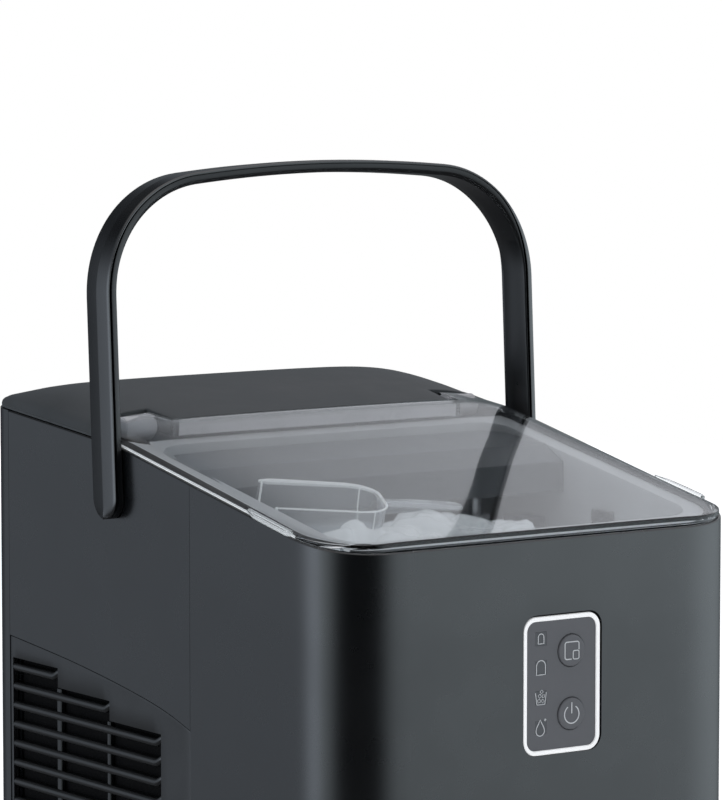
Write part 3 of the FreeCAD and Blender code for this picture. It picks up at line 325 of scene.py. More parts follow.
# name: (colour, roughness, what differs from surface()'s defaults)
LOOKS = {
    "casing_black": ((0.0030, 0.0036, 0.0044), 0.28, dict(ior=1.85, rough_vary=0.02, bump=0.05)),
    "smoky": ((0.74, 0.73, 0.75), 0.3, dict(vary=0.08, bump=0.15, grain=200.0)),
    # matte near-black for bands in gaps and under the lid's rim: painted shade
    "shade_matte": ((0.010, 0.011, 0.013), 0.6, dict(bump=0.1, specular=0.12)),
    "inside_black": ((0.0035, 0.0039, 0.0046), 0.3, dict(ior=1.58, rough_vary=0.03, bump=0.05)),
    "grille_black": ((0.0040, 0.0044, 0.0050), 0.33, dict(ior=1.8, bump=0.10)),
    "deck_black": ((0.058, 0.065, 0.070), 0.52, dict(grain=1400.0, bump=0.22)),
    "clear_lid": ((0.93, 0.95, 0.96), 0.035,
                  dict(vary=0.02, rough_vary=0.015, grain=90.0, bump=0.12, bump_mm=0.05, ior=1.49,
                       transmission=1.0, lets_light=0.9, mottle=22.0)),
    "handle_black": ((0.0035, 0.0039, 0.0046), 0.24, dict(ior=1.92, rough_vary=0.03, bump=0.05)),
    "pin_steel": ((0.62, 0.62, 0.63), 0.28, dict(metallic=1.0, vary=0.05, bump=0.1)),
    # emission 0.3 is a painted glow that brightens the white ring round the control panel
    "panel_white": ((0.90, 0.905, 0.91), 0.38, dict(vary=0.03, bump=0.06, emission=0.3)),
    "panel_grey": ((0.116, 0.119, 0.130), 0.42, dict(vary=0.06, bump=0.10)),
    "lens": ((0.085, 0.09, 0.098), 0.36, dict(vary=0.05)),
    "board_green": ((0.03, 0.12, 0.05), 0.45, dict(vary=0.3, mottle=160.0)),
    "liner_grey": ((0.66, 0.67, 0.68), 0.40, dict(vary=0.05, bump=0.12)),
    # foam: near black as painted shade for the dark inside seen through the louvres
    "foam": ((0.006, 0.006, 0.0065), 0.9, dict(vary=0.2, grain=500.0, bump=0.6, bump_mm=0.3, specular=0.1)),
    "tray_grey": ((0.13, 0.138, 0.147), 0.42, dict(vary=0.08, bump=0.12)),
    "clear_scoop": ((0.90, 0.93, 0.95), 0.10,
                    dict(vary=0.03, rough_vary=0.05, grain=300.0, bump=0.25, bump_mm=0.05, ior=1.45,
                         transmission=0.9, lets_light=0.85)),
    "evaporator_metal": ((0.66, 0.66, 0.67), 0.25, dict(metallic=1.0, vary=0.06, bump=0.2)),
    "dark_plastic": ((0.022, 0.023, 0.025), 0.45, dict(bump=0.2)),
    "rubber": ((0.018, 0.018, 0.019), 0.8, dict(bump=0.4, grain=900.0)),
    "compressor_black": ((0.012, 0.012, 0.013), 0.35, dict(vary=0.2, bump=0.3, grain=600.0)),
    # condenser: black fin paint, made darker still as painted shade for the dark inside behind the louvres
    "condenser_black": ((0.0012, 0.0012, 0.0014), 0.8, dict(vary=0.15, bump=0.2, specular=0.04)),
    "copper": ((0.80, 0.42, 0.28), 0.30, dict(metallic=1.0, vary=0.2, bump=0.2)),
    "valve_brass": ((0.75, 0.60, 0.32), 0.32, dict(metallic=1.0, bump=0.2)),
    # emission 0.10 is a painted glow that lightens the ice
    "ice": ((0.86, 0.89, 0.91), 0.16,
            dict(vary=0.06, rough_vary=0.10, grain=120.0, bump=0.35, bump_mm=0.5, ior=1.31, transmission=0.3,
                 lets_light=0.75, mottle=90.0, emission=0.10)),
    # emission 0.12 is a painted glow: the beads in this look are painted highlights
    "frosted_glow": ((0.93, 0.95, 0.96), 0.35,
                dict(vary=0.05, rough_vary=0.1, grain=300.0, bump=0.3, bump_mm=0.06, ior=1.45,
                     transmission=0.25, lets_light=0.6, emission=0.12)),
    "icon_ink": ((0.62, 0.64, 0.66), 0.5, dict(vary=0.04)),
}
MATERIALS = {name: surface(name, colour, rough, **more) for name, (colour, rough, more) in LOOKS.items()}


def dress_cad():
    """Gives every CAD node the material of its slot."""
    slots = {}
    for part in frame["record"]["subparts"]:
        slots[part["node"]] = part.get("material_slot") or part.get("material")
    for name, obj in NODES.items():
        obj.data.materials.clear()
        obj.data.materials.append(MATERIALS[slots[name]])


# ---- lid and rear cover
def sheet(rows, blocks, height):
    """Sheet over blocks of columns: each block is (left(y), right(y), first y, last y, columns)."""
    verts = []
    index = {}
    cells = []

    def vertex(x, y):
        key = (round(x, 4), round(y, 4))
        if key not in index:
            index[key] = len(verts)
            verts.append((x, y, height(x, y)))
        return index[key]

    for left, right, y_first, y_last, n in blocks:
        used = [y for y in rows if y_first - 1e-6 <= y <= y_last + 1e-6]
        lines = [[vertex(x, y) for x in spread(left(y), right(y), n)] for y in used]
        for a, b in zip(lines, lines[1:]):
            for j in range(n):
                cells.append([a[j], a[j + 1], b[j + 1], b[j]])
    return verts, cells


def outline(cells):
    """Vertices round the open edge of a sheet, in order."""
    follow = dict(open_edges(cells))
    loop = [next(iter(follow))]
    while follow[loop[-1]] != loop[0]:
        loop.append(follow[loop[-1]])
    return loop


def cover(name, rows, blocks, height, floor_z, wall, edge_r, hem=lambda x, y: 0.25):
    """Thin cover: crowned top, rounded edge, skirt down to floor_z and an open hollow underneath.
    The skirt's foot is chamfered over the height hem(x, y)."""
    verts, cells = sheet(rows, blocks, height)
    loop = outline(cells)
    m = len(loop)
    outward = {}
    for i, v in enumerate(loop):
        a, b, c = [Vector(verts[loop[k % m]][:2]) for k in (i - 1, i, i + 1)]
        e1 = (b - a).normalized()
        e2 = (c - b).normalized()
        n1 = Vector((e1.y, -e1.x))
        n2 = Vector((e2.y, -e2.x))
        out = (n1 + n2).normalized()
        outward[v] = out / max(out.dot(n1), 0.45)
    points = list(verts)
    for v in loop:
        x, y, z = verts[v]
        points[v] = (x - outward[v].x * edge_r, y - outward[v].y * edge_r, z)
    rings = [loop]

    def ring(inset, level):
        """Copy of the outline, drawn in by inset, at the height level(x, y, z)."""
        rings.append(range(len(points), len(points) + m))
        for v in loop:
            x, y, z = verts[v]
            points.append((x - outward[v].x * inset, y - outward[v].y * inset, level(x, y, z)))

    def foot(x, y, z):
        return min(floor_z(x, y), z - edge_r - 0.1)

    for a in (30, 60, 90):
        drop = edge_r * (1 - cos(radians(a)))
        ring(edge_r * (1 - sin(radians(a))), lambda x, y, z: z - drop)
    ring(0.0, lambda x, y, z: min(floor_z(x, y) + hem(x, y), z - edge_r))
    ring(0.25, foot)
    ring(wall, foot)
    ring(wall, lambda x, y, z: max(z - wall - edge_r * 0.4, foot(x, y, z) + 0.1))
    inner_of = dict(zip(loop, rings[-1]))
    for i, (x, y, z) in enumerate(verts):
        if i not in inner_of:
            inner_of[i] = len(points)
            points.append((x, y, z - wall))
    faces = [tuple(c) for c in cells]
    faces += [tuple(inner_of[i] for i in reversed(c)) for c in cells]
    for upper, lower in zip(rings, rings[1:]):
        for i in range(m):
            j = (i + 1) % m
            faces.append((upper[j], upper[i], lower[i], lower[j]))
    return make_object(name, points, faces)


def corner_half(y, y0, r, half):
    """Half width of an outline whose corner of radius r starts at y0."""
    d = y - y0
    if d >= r:
        return half
    return half - r + sqrt(max(r * r - (r - d) ** 2, 0.0))


def corner_rows(y0, r, n, sign=1):
    """Rows that follow a rounded corner at even angles."""
    return [y0 + sign * r * (1 - cos(radians(90.0 * i / n))) for i in range(n + 1)]


def build_lid():
    taper_from = 38.0       # the hinge ears narrow from here
    taper_to = 54.0
    rows = corner_rows(LID_FRONT_Y, R_LID, 12)
    rows += spread(rows[-1], LID_REAR_Y, 34)[1:]
    rows += spread(LID_REAR_Y, taper_to, 7)[1:] + [54.7, 55.4, EAR_REAR_Y]

    def half(y):
        if y <= taper_from:
            return corner_half(y, LID_FRONT_Y, R_LID, COVER_HALF_W)
        if y <= taper_to:
            share = (y - taper_from) / (taper_to - taper_from)
            return COVER_HALF_W + (EAR_HALF_W - COVER_HALF_W) * share
        return EAR_HALF_W - (y - taper_to) * 0.5

    def nose(y):
        if y <= LID_REAR_Y:
            return NOSE_X_FRONT * half(y) / COVER_HALF_W
        return NOSE_X_FRONT + (NOSE_X_REAR - NOSE_X_FRONT) * (y - LID_REAR_Y) / (EAR_REAR_Y - LID_REAR_Y)

    def height(x, y):
        z = crown(x, y, LID_RISE)
        d = min(abs(y - LID_AXIS_Y), EAR_R - 0.05)
        if y > LID_AXIS_Y:
            z = min(z, LID_AXIS_Z + sqrt(EAR_R ** 2 - d * d))
        return z

    def low(x, y):
        z = side_z(y) + 0.3
        if y > LID_AXIS_Y:
            d = min(y - LID_AXIS_Y, EAR_R - 0.05)
            z = max(z, LID_AXIS_Z - sqrt(EAR_R ** 2 - d * d))
        return z

    blocks = ((lambda y: -half(y), lambda y: -nose(y), LID_FRONT_Y, EAR_REAR_Y, 9),
              (lambda y: -nose(y), nose, LID_FRONT_Y, LID_REAR_Y, 34),
              (nose, half, LID_FRONT_Y, EAR_REAR_Y, 9))
    def hem(x, y):
        return 0.12 if y > LID_REAR_Y - 12.0 and abs(x) < 100.0 else 0.6

    lid = cover("clear_lid_shell", rows, blocks, height, low, LID_WALL, 0.6, hem)
    piece(lid, "lid", "clear_lid", ("lid",))


def edge_strips(name, stations, profile):
    """Strips along both side edges of the lid; profile(y, reach) gives the (x, z) points of a station."""
    made = []
    for side in (-1, 1):
        made.append(sweep(name, [[(side * x, y, z) for x, z in profile(y, reach)] for y, reach in stations]))
    return join(name, made)


def build_lid_lips():
    """Finger lips moulded along both side edges of the lid."""
    def profile(y, reach):
        z = side_z(y)
        x0 = COVER_HALF_W - 0.9
        x1 = COVER_HALF_W + reach
        return [(x0, z + 0.45), (x1 - 0.3, z + 0.35), (x1, z + 0.7), (x1, z + 1.9), (x1 - 0.35, z + 2.3),
                (x0, z + 2.6)]

    stations = ((-76, 0.2), (-79, 0.9), (-82.5, 2.0), (-85, 2.3), (-96, 2.45), (-106.8, 2.4), (-108.6, 1.9),
                (-109.3, 0.5))
    piece(edge_strips("lid_finger_lips", stations, profile), "lid", "clear_lid")


def build_lid_highlight_bead():
    """Thin frosted, faintly glowing bead along the lower edge of the lid: a painted highlight for the bright
    line there.
    """
    def profile(y, reach):
        z = side_z(y) + 0.32
        x0 = COVER_HALF_W - 0.6
        x1 = x0 + reach
        return [(x0, z + 0.1), (x1 - 0.25, z), (x1, z + 0.2), (x1, z + 0.5), (x1 - 0.35, z + 0.75),
                (x0, z + 0.8)]

    stations = [(y, 0.95) for y in spread(30.0, LID_FRONT_Y + R_LID, 30)]
    piece(edge_strips("lid_edge_highlight_bead", stations, profile), "lid", "clear_lid", look="frosted_glow")


def build_lid_barrels():
    """Moulded hinge barrels in the ears and the stiffening wall along the lid's rear edge."""
    made = []
    for side in (-1, 1):
        sections = []
        for x, r in ((80.9, 4.9), (81.5, 5.6), (96.4, 5.6), (97.0, 4.9)):
            sections.append([(side * x, LID_AXIS_Y + r * cos(a), LID_AXIS_Z + r * sin(a))
                             for a in turns(28)])
        made.append(sweep("barrel", sections))
    wall_y0 = 32.2
    wall_y1 = 32.8
    rim_y = 33.9            # where the lid's top and side edge give the wall's height
    sections = []
    for x in spread(-76.0, 76.0, 40):
        top = crown(x, rim_y, LID_RISE) - LID_WALL - 0.3
        foot = side_z(rim_y) + 0.9
        sections.append([(x, wall_y0, foot), (x, wall_y1, foot), (x, wall_y1, top), (x, wall_y0, top)])
    made.append(sweep("rear_wall", sections))
    piece(join("lid_hinge_barrels", made), "lid", "clear_lid", look="smoky")


def build_edge_lip():
    """Dark inner lip of the casing's edge, under the lid's rim; its matte near-black is painted shade for the
    shadowed line under the rim.
    """
    r = 25.8
    gap = 0.05
    cx = HALF_W - WALL - gap - r
    cy = -(HALF_D - WALL - gap) + r
    path = [(cx + r, y, 1.0, 0.0) for y in spread(33.0, cy, 24)]
    for i in range(1, 12):
        a = radians(-90.0 * i / 12)
        path.append((cx + r * cos(a), cy + r * sin(a), cos(a), sin(a)))
    path.append((cx, cy - r, 0.0, -1.0))
    path += [(-x, y, -nx, ny) for x, y, nx, ny in reversed(path)]
    profile = ((0.0, -0.85), (0.0, -0.1), (1.0, -0.1), (4.9, -0.15), (5.3, -0.3), (5.4, -0.6), (5.3, -0.85))
    sections = []
    for x, y, nx, ny in path:
        loop = []
        for inset, up in profile:
            py = y - ny * inset
            loop.append((x - nx * inset, py, side_z(py) + up))
        sections.append(loop)
    piece(sweep("casing_inner_lip", sections), "casing", "casing_black", look="shade_matte")


def build_deck():
    front = 36.2
    rear = HALF_D - 0.7
    corner_r = 11.0
    arm_y = 41.0            # front ends of the two strips outside the lid's ears
    arm_rear_y = 56.5
    gap_y = EAR_REAR_Y + 1.2
    nose_x = 78.1
    shoulder_x = 101.0
    rows = [front, 37.0, 39.0, arm_y, 45.0, 49.0, 53.0, arm_rear_y, gap_y]
    rows += spread(gap_y, rear - corner_r, 17)[1:]
    rows += list(reversed(corner_rows(rear, corner_r, 8, -1)))[1:]

    def half(y):
        return corner_half(rear - y, 0.0, corner_r, COVER_HALF_W)

    def nose(y):
        if y >= gap_y:
            return nose_x * half(y) / COVER_HALF_W
        return nose_x - 1.5 + (y - front) * 1.5 / (gap_y - front)

    def shoulder(y):
        if y >= arm_rear_y:
            return shoulder_x * half(y) / COVER_HALF_W
        return shoulder_x + (arm_rear_y - y) * 8.9 / (arm_rear_y - arm_y)

    blocks = ((lambda y: -nose(y), nose, front, rear, 34),
              (lambda y: -half(y), lambda y: -shoulder(y), arm_y, rear, 3),
              (shoulder, half, arm_y, rear, 3),
              (lambda y: -shoulder(y), lambda y: -nose(y), gap_y, rear, 6),
              (nose, shoulder, gap_y, rear, 6))
    deck = cover("domed_rear_cover", rows, blocks, lambda x, y: crown(x, y, DECK_RISE),
                 lambda x, y: side_z(y) + 0.5, WALL, 1.0)
    piece(deck, "casing", "deck_black", ("rear_top_cover",))


# ---- casing skins
def skin_profile(z_low, z_top):
    """(inset, height) loop across a casing wall with eased edges."""
    outside = [(0.35, z_low), (0.0, z_low + 0.35)]
    outside += [(0.0, z_low + 0.35 + (z_top - 1.25 - z_low) * i / 6) for i in range(1, 7)]
    top = [(0.07, z_top - 0.5), (0.26, z_top - 0.22), (0.5, z_top - 0.07), (0.9, z_top)]
    inside = [(WALL - 0.3, z_top), (WALL, z_top - 0.3), (WALL, z_low)]
    return outside + top + inside


def front_path():
    """Plan line of the front wrap from the left seam round to the right seam: (x, y, nx, ny).
    The corners are superellipses of the given reach."""
    reach = 40.0
    power = 2.0 / 2.96
    steps = 26
    corner = []
    for i in range(steps + 1):
        t = radians(90.0 * i / steps)
        corner.append((reach * (1 - abs(sin(t)) ** power) if i else reach,
                       reach * (1 - abs(cos(t)) ** power) if i < steps else reach))
    left = sorted([(a - HALF_W, b - HALF_D) for a, b in corner], key=lambda p: -p[1])
    seam = [(HALF_W, SEAM_Y - SEAM_HALF), (HALF_W, -50.0), (HALF_W, -70.0)]
    line = [(-x, y) for x, y in seam] + left
    line += [(x, -HALF_D) for x in spread(-HALF_W + reach, HALF_W - reach, 8)[1:-1]]
    line += [(-x, y) for x, y in reversed(left)] + seam[::-1]
    path = []
    for i, (x, y) in enumerate(line):
        a = Vector(line[max(i - 1, 0)])
        b = Vector(line[min(i + 1, len(line) - 1)])
        t = (b - a).normalized()
        path.append((x, y, t.y, -t.x))
    return path


def rounded_rect(cx, cz, w, h, r, steps=8):
    points = []
    for sx, sz, start in ((1, 1, 0), (-1, 1, 90), (-1, -1, 180), (1, -1, 270)):
        for i in range(steps + 1):
            a = radians(start + 90.0 * i / steps)
            points.append((cx + sx * (w / 2 - r) + r * cos(a), cz + sz * (h / 2 - r) + r * sin(a)))
    return points


def build_front():
    """Front wrap with the panel's opening; also returns the bezel's middle and size."""
    sections = []
    for x, y, nx, ny in front_path():
        sections.append([(x - nx * inset, y - ny * inset, z)
                         for inset, z in skin_profile(SKIN_BOTTOM, side_z(y))])
    front = sweep("front_wrap", sections)
    plate_low, plate_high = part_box("control_plate")
    cx = (plate_low.x + plate_high.x) / 2 / MM
    cz = (plate_low.z + plate_high.z) / 2 / MM
    w = (plate_high.x - plate_low.x) / MM + 4.0
    h = (plate_high.z - plate_low.z) / MM + 4.0
    opening = rounded_rect(cx + 0.32, cz + 0.32, w + 1.0, h + 1.0, 6.95)
    cut(front, prism("tool", [(x, -HALF_D - 4, z) for x, z in opening], (0, 12, 0)))
    tidy_normals(front, 25.0)
    piece(front, "casing", "casing_black", ("front_panel",))
    return cx, cz, w, h


def build_side(side, name):
    sections = []
    for y in spread(SEAM_Y + SEAM_HALF, REAR_SEAM_Y - SEAM_HALF, 40):
        profile = skin_profile(curve_value(LOUVRE_TOP, y), side_z(y))
        sections.append([(side * (HALF_W - inset), y, z) for inset, z in profile])
    skin = sweep("side_skin_" + name, sections)
    pivot_r = 5.05
    ring = [(side * (HALF_W - 8), HANDLE_Y + pivot_r * cos(a), HANDLE_Z + pivot_r * sin(a))
            for a in turns(36)]
    cut(skin, prism("tool", ring, (side * 16, 0, 0)))
    tidy_normals(skin, 25.0)
    piece(skin, "casing", "casing_black", ("side_panel_" + name,))


# louvres: three columns of slots, (front end, rows missing at the top), all open to the same rear end
GRILLE_COLUMNS = ((-6.6, 2), (36.7, 1), (81.6, 0))
GRILLE_REAR_Y = 121.7
GRILLE_ROWS = 17
GRILLE_PITCH = 8.95
GRILLE_FIRST_Z = 173.9
SLOT_H = 5.4


def build_grille(side, name):
    x_out = HALF_W - 0.2
    lowest = GRILLE_FIRST_Z - (GRILLE_ROWS - 1) * GRILLE_PITCH
    tops = [GRILLE_FIRST_Z - missing * GRILLE_PITCH + SLOT_H for _, missing in GRILLE_COLUMNS]
    levels = [SKIN_BOTTOM, lowest] + tops
    marks = [SEAM_Y + 0.2] + [y for y, _ in GRILLE_COLUMNS] + [GRILLE_REAR_Y, REAR_SEAM_Y - 0.2]
    ys = []
    for a, b in zip(marks, marks[1:]):
        ys += spread(a, b, max(1, round((b - a) / 6)))[:-1]
    ys.append(marks[-1])
    outer = []
    inner = []
    for y in ys:
        top = curve_value(LOUVRE_TOP, y) - 0.08
        for z in [min(z, top - 1.0 * (5 - k)) for k, z in enumerate(levels)] + [top]:
            outer.append((side * x_out, y, z))
            inner.append((side * (x_out - WALL), y, z))
    m = len(levels) + 1
    cells = []
    for i in range(len(ys) - 1):
        mid = (ys[i] + ys[i + 1]) / 2
        for k in range(m - 1):
            slotted = 0 < k < 4 and any(y0 < mid < GRILLE_REAR_Y and levels[k + 1] <= top + 0.01
                                        for (y0, _), top in zip(GRILLE_COLUMNS, tops))
            if not slotted:
                a = i * m + k
                cells.append([a, a + 1, a + m + 1, a + m])
    plate = shell("plate", outer, inner, cells)
    bevel(plate, 0.15, 60.0)
    parts = [plate]
    for bar_y, half_bar, top in ((83.4, 1.8, tops[1]), (40.2, 1.25, tops[0])):
        bar = ((2.1, -half_bar), (1.7, 0.4 - half_bar), (1.7, half_bar - 0.4), (2.1, half_bar),
               (3.6, half_bar), (3.6, -half_bar))
        parts.append(sweep("bar", [[(side * (x_out - d), bar_y + w, z) for d, w in bar]
                                   for z in (lowest - 1.5, top - 1.0)]))
    for row in range(GRILLE_ROWS):
        y1 = GRILLE_REAR_Y
        y0 = GRILLE_COLUMNS[2 - min(row, 2)][0]
        z_lip = GRILLE_FIRST_Z - row * GRILLE_PITCH + SLOT_H - 4.75
        # (y, rise, setback): the front end of each blade curls up and in
        stations = [(y1 + 0.8, 0, 0), (y1 - 3, 0, 0), ((y0 + y1) / 2, 0, 0), (y0 + 7.0, 0, 0),
                    (y0 + 5.4, 0.15, 0.05), (y0 + 4.2, 0.6, 0.15), (y0 + 2.8, 1.5, 0.4), (y0 + 1.2, 2.5, 0.9),
                    (y0 - 0.6, 3.2, 1.6)]
        sections = []
        for y, up, back in stations:
            x = x_out - 0.1 - back
            z = z_lip + up
            loop = []
            for k in range(14):
                a = radians(-100 + 240 * k / 13)
                loop.append((x - 1.6 + 1.6 * cos(a), z + 0.25 + 1.95 * sin(a)))
            loop += [(x - 4.2, z + 1.9 - up * 0.3), (x - 4.2, z - 1.0), (x - 2.6, z - 1.6)]
            sections.append([(side * a, y, b) for a, b in loop])
        parts.append(sweep("blade", sections))
    piece(join("louvre_grille_" + name, parts), "casing", "grille_black", ("vent_grille_" + name,))


def build_shade_screens():
    """Fine pleated near-black sheets close behind the louvres: painted shade for the dark inside seen through
    the slots.
    """
    screen_x = 106.24
    pleat = 0.05
    points = [(screen_x - pleat * (k % 2), y, z) for k, y in enumerate(spread(-7.5, 122.5, 130))
              for z in (27.0, 181.0)]
    made = []
    for side in (-1, 1):
        made.append(shell("screen", [(side * x, y, z) for x, y, z in points],
                          [(side * (x - 0.1), y, z) for x, y, z in points], grid_cells(131, 2)))
    piece(join("vent_shade_screens", made), "casing", "grille_black", look="foam")


# ---- scoop on the basket's rim
SCOOP_LOW, SCOOP_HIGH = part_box("ice_scoop")
SCOOP_AT = Vector((SCOOP_HIGH.x / MM - 54.4, SCOOP_LOW.y / MM + 25.1, SCOOP_HIGH.z / MM - 5.6))
SCOOP_PITCH = radians(12)
SCOOP_YAW = radians(-22)
SCOOP_PLACE = (Matrix.Translation(SCOOP_AT) @ Matrix.Rotation(SCOOP_PITCH, 4, "X")
               @ Matrix.Rotation(SCOOP_YAW, 4, "Z"))
BOWL_MOUTH = -29.6      # along the scoop, from its open end
BOWL_STRAIGHT = 8.0     # to where the sides close in
BOWL_CLOSE = 14.0       # over this length
BOWL_WALL = 1.5
BOWL_POINTS = 17


def scoop_point(u, v, w):
    return tuple(SCOOP_PLACE @ Vector((u, v, w)))


def bowl_section(u, grow):
    """Cross-section of the shovel, from one rim over the bottom to the other."""
    end = max(0.0, (u - BOWL_STRAIGHT) / BOWL_CLOSE)
    share = sqrt(max(1.0 - end * end, 0.0))
    half = (6.5 + 12.6 * share) + grow
    depth = (7.0 + 12.2 * share) + grow
    power = 0.62
    out = []
    for k in range(BOWL_POINTS):
        a = pi * k / (BOWL_POINTS - 1)
        c = cos(a)
        out.append((-copysign(abs(c) ** power, c) * half, -(sin(a) ** power) * depth))
    return out


def tube(path, points, radius_at, side_at, lift=0.0):
    """Sections of a round bead along points of the scoop; side_at(c, t) is a direction across the line."""
    sections = []
    for i, c in enumerate(path):
        t = (path[min(i + 1, len(path) - 1)] - path[max(i - 1, 0)]).normalized()
        side = side_at(c, t)
        up = t.cross(side)
        r = radius_at(i)
        sections.append([scoop_point(*(c + side * (lift + r * cos(q)) + up * (r * sin(q))))
                         for q in turns(points)])
    return sections


def build_scoop():
    stations = [BOWL_MOUTH, -24.0, -16.0, -8.0, 0.0, 6.0, 10.0, 13.5, 16.5, 19.0, 20.6, 21.4]
    outer = []
    inner = []
    for u in stations:
        outer += [scoop_point(u, v, w) for v, w in bowl_section(u, 0.0)]
        inner += [scoop_point(min(u, 19.9), v, w) for v, w in bowl_section(u, -BOWL_WALL)]
    outer += [scoop_point(21.8, v * 0.04, w * 0.5) for v, w in bowl_section(stations[-1], 0.0)]
    inner += [scoop_point(20.2, v * 0.04, w * 0.5) for v, w in bowl_section(stations[-1], -BOWL_WALL)]
    bowl = shell("bowl", outer, inner, grid_cells(len(stations) + 1, BOWL_POINTS))
    grip = []
    for u, w, half, thick in ((20.6, -1.2, 5.2, 1.0), (24, -1.2, 5.0, 1.1), (36, -1.0, 5.3, 1.25),
                              (48, -1.1, 5.6, 1.25), (55, -1.2, 4.9, 1.15), (57.4, -1.2, 2.6, 0.8)):
        grip.append([scoop_point(u, half * cos(q),
                                 w + thick * sin(q) * (1 if abs(cos(q)) < 0.9 else 0.8))
                     for q in turns(20)])
    rib = [[scoop_point(u, v, w) for v, w in ((-0.8, -1.6), (0.8, -1.6), (0.6, -low), (-0.6, -low))]
           for u, low in ((20.9, 6.4), (32, 5.2), (44, 3.2), (50, 2.2))]
    parts = [bowl, sweep("grip", grip), sweep("rib", rib)]
    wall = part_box("ice_basket")[0].x / MM + 5.0
    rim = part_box("ice_basket")[1].z / MM
    foot_y = SCOOP_AT.y - 2.0
    for loop in (((-4.8, 0.1), (1.6, 0.1), (1.6, 15.0), (-3.4, 15.0)),
                 ((0.35, -6.6), (1.6, -6.6), (1.6, 1.0), (0.35, 1.0))):
        foot = sweep("foot", [[(wall + x, y, rim + z) for x, z in loop]
                              for y in (foot_y - 3.6, foot_y + 3.6)])
        bevel(foot, 0.4)
        parts.append(foot)
    piece(join("scoop_shovel", parts), "ice_basket", "clear_scoop", ("ice_scoop",))


def build_scoop_rim_highlights():
    """Frosted, faintly glowing bead along the bowl's edge, thinner towards one side, and two fine ribs
    across: painted highlights on the bowl's edge and curves.
    """
    fine = spread(BOWL_MOUTH, BOWL_STRAIGHT, 8)
    fine += [BOWL_STRAIGHT + BOWL_CLOSE * sin(radians(6.0 * k)) for k in range(1, 15)]
    edge = [(u, abs(bowl_section(u, 0.0)[-1][0])) for u in fine]
    path = [Vector((u, v, 0.0)) for u, v in edge] + [Vector((22.0, 2.5, 0.0)), Vector((22.0, -2.5, 0.0))]
    path += [Vector((u, -v, 0.0)) for u, v in reversed(edge)]
    last = len(path) - 1
    middle = Vector((-4.0, 0.0, -8.0))

    def taper(i):
        return max(1.3 - 1.3 * i / last, 0.4) * (1.0 if 0 < i < last else 0.45)

    def outward(c, t):
        side = c - middle
        return (side - t * side.dot(t)).normalized()

    beads = [sweep("rim", tube(path, 10, taper, outward, 0.1))]
    for u, thin in ((-28.4, 0.5), (15.0, 0.35)):
        across = [Vector((u, v, w)) for v, w in bowl_section(u, -1.3)]
        beads.append(sweep("rib", tube(across, 8, lambda i: thin, lambda c, t: Vector((1, 0, 0)))))
    piece(join("scoop_rim_highlights", beads), "ice_basket", "clear_scoop", look="frosted_glow")


# ---- ice in the basket
def ice_bullet(name, radius, length, place):
    """Thimble-shaped ice: flat foot, round head."""
    profile = [(0.78, -0.5), (0.93, -0.47), (1.0, -0.40), (1.0, 0.08), (0.94, 0.27), (0.78, 0.41),
               (0.50, 0.485)]
    n = 14
    verts = [tuple(place @ Vector((r * radius * cos(a), r * radius * sin(a), h * length)))
             for r, h in profile for a in turns(n)]
    faces = []
    for i in range(len(profile) - 1):
        for k in range(n):
            faces.append((i * n + k, i * n + (k + 1) % n, (i + 1) * n + (k + 1) % n, (i + 1) * n + k))
    low = len(verts)
    top = low - n
    verts += [tuple(place @ Vector((0, 0, share * length))) for share in (-0.5, 0.5)]
    for k in range(n):
        faces.append((low, (k + 1) % n, k))
        faces.append((low + 1, top + k, top + (k + 1) % n))
    return make_object(name, verts, faces)


def heap_height(x, y):
    """Top of the ice: just under the lid in front, low under the shovel and to the right."""
    roof = crown(x, y, LID_RISE) - LID_WALL - 4.4
    drop = 0.6 + 2.2 * (0.5 + 0.5 * sin(x * 0.11 + 1.0) * cos(y * 0.16 + x * 0.05))
    drop += 0.10 * max(0.0, x + 18.0) + 0.004 * max(0.0, x + 6.0) ** 2
    drop += 0.55 * max(0.0, y + 86.0 + 0.12 * max(0.0, x))
    if x < -31.0 and y > -92.0:
        drop = max(drop, min(24.0, 5.0 * min(-31.0 - x, y + 92.0) + 3.0))
    return max(roof - drop, 226.0)


def build_ice():
    basket_low, basket_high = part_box("ice_basket")
    x0 = basket_low.x / MM + 6.5
    x1 = basket_high.x / MM - 6.5
    y0 = basket_low.y / MM + 5.5
    y1 = basket_high.y / MM - 4.5
    floor_z = basket_low.z / MM + 3.0
    points = [(x, y) for y in spread(y0 + 2, y1 - 2, 10) for x in spread(x0 + 2, x1 - 2, 24)]
    core = shell("core", [(x, y, max(heap_height(x, y) - 6.0, floor_z + 4)) for x, y in points],
                 [(x, y, floor_z) for x, y in points], grid_cells(11, 25))
    parts = [core]
    rng = random.Random(11)
    radius = 6.6
    length = 19.0
    for layer in range(3):
        for _ in range(95):
            x = rng.uniform(x0 + 5, x1 - 7)
            y = rng.uniform(y0 + 4, y1 - 6)
            turn = Matrix.Rotation(rng.uniform(0, 2 * pi), 4, "Z") @ Matrix.Rotation(
                rng.uniform(radians(35), radians(145)), 4, "X")
            reach = abs((turn @ Vector((0, 0, length / 2 - radius * 0.8))).z) + radius * 0.95
            z = heap_height(x, y) - reach - layer * 3.0
            parts.append(ice_bullet("cube", radius, length, Matrix.Translation((x, y, z)) @ turn))
    heap = join("ice_heap", parts)
    remesh = heap.modifiers.new("melt", "REMESH")
    remesh.mode = "VOXEL"
    remesh.voxel_size = 1.35 * MM
    soften = heap.modifiers.new("soften", "SMOOTH")
    soften.factor = 0.5
    soften.iterations = 4
    apply_modifiers(heap)
    for polygon in heap.data.polygons:
        polygon.use_smooth = True
    piece(heap, "ice_basket", "clear_scoop", look="ice")


# ---- carry handle
HANDLE_HALF = 117.3
HANDLE_CORNER_Z = 88.7
HANDLE_CORNER_R = 54.6
HANDLE_TOP_R = 682.0
HANDLE_TOP_Z = 146.4
HANDLE_HALF_STRAP = 9.6
HANDLE_T = 5.6


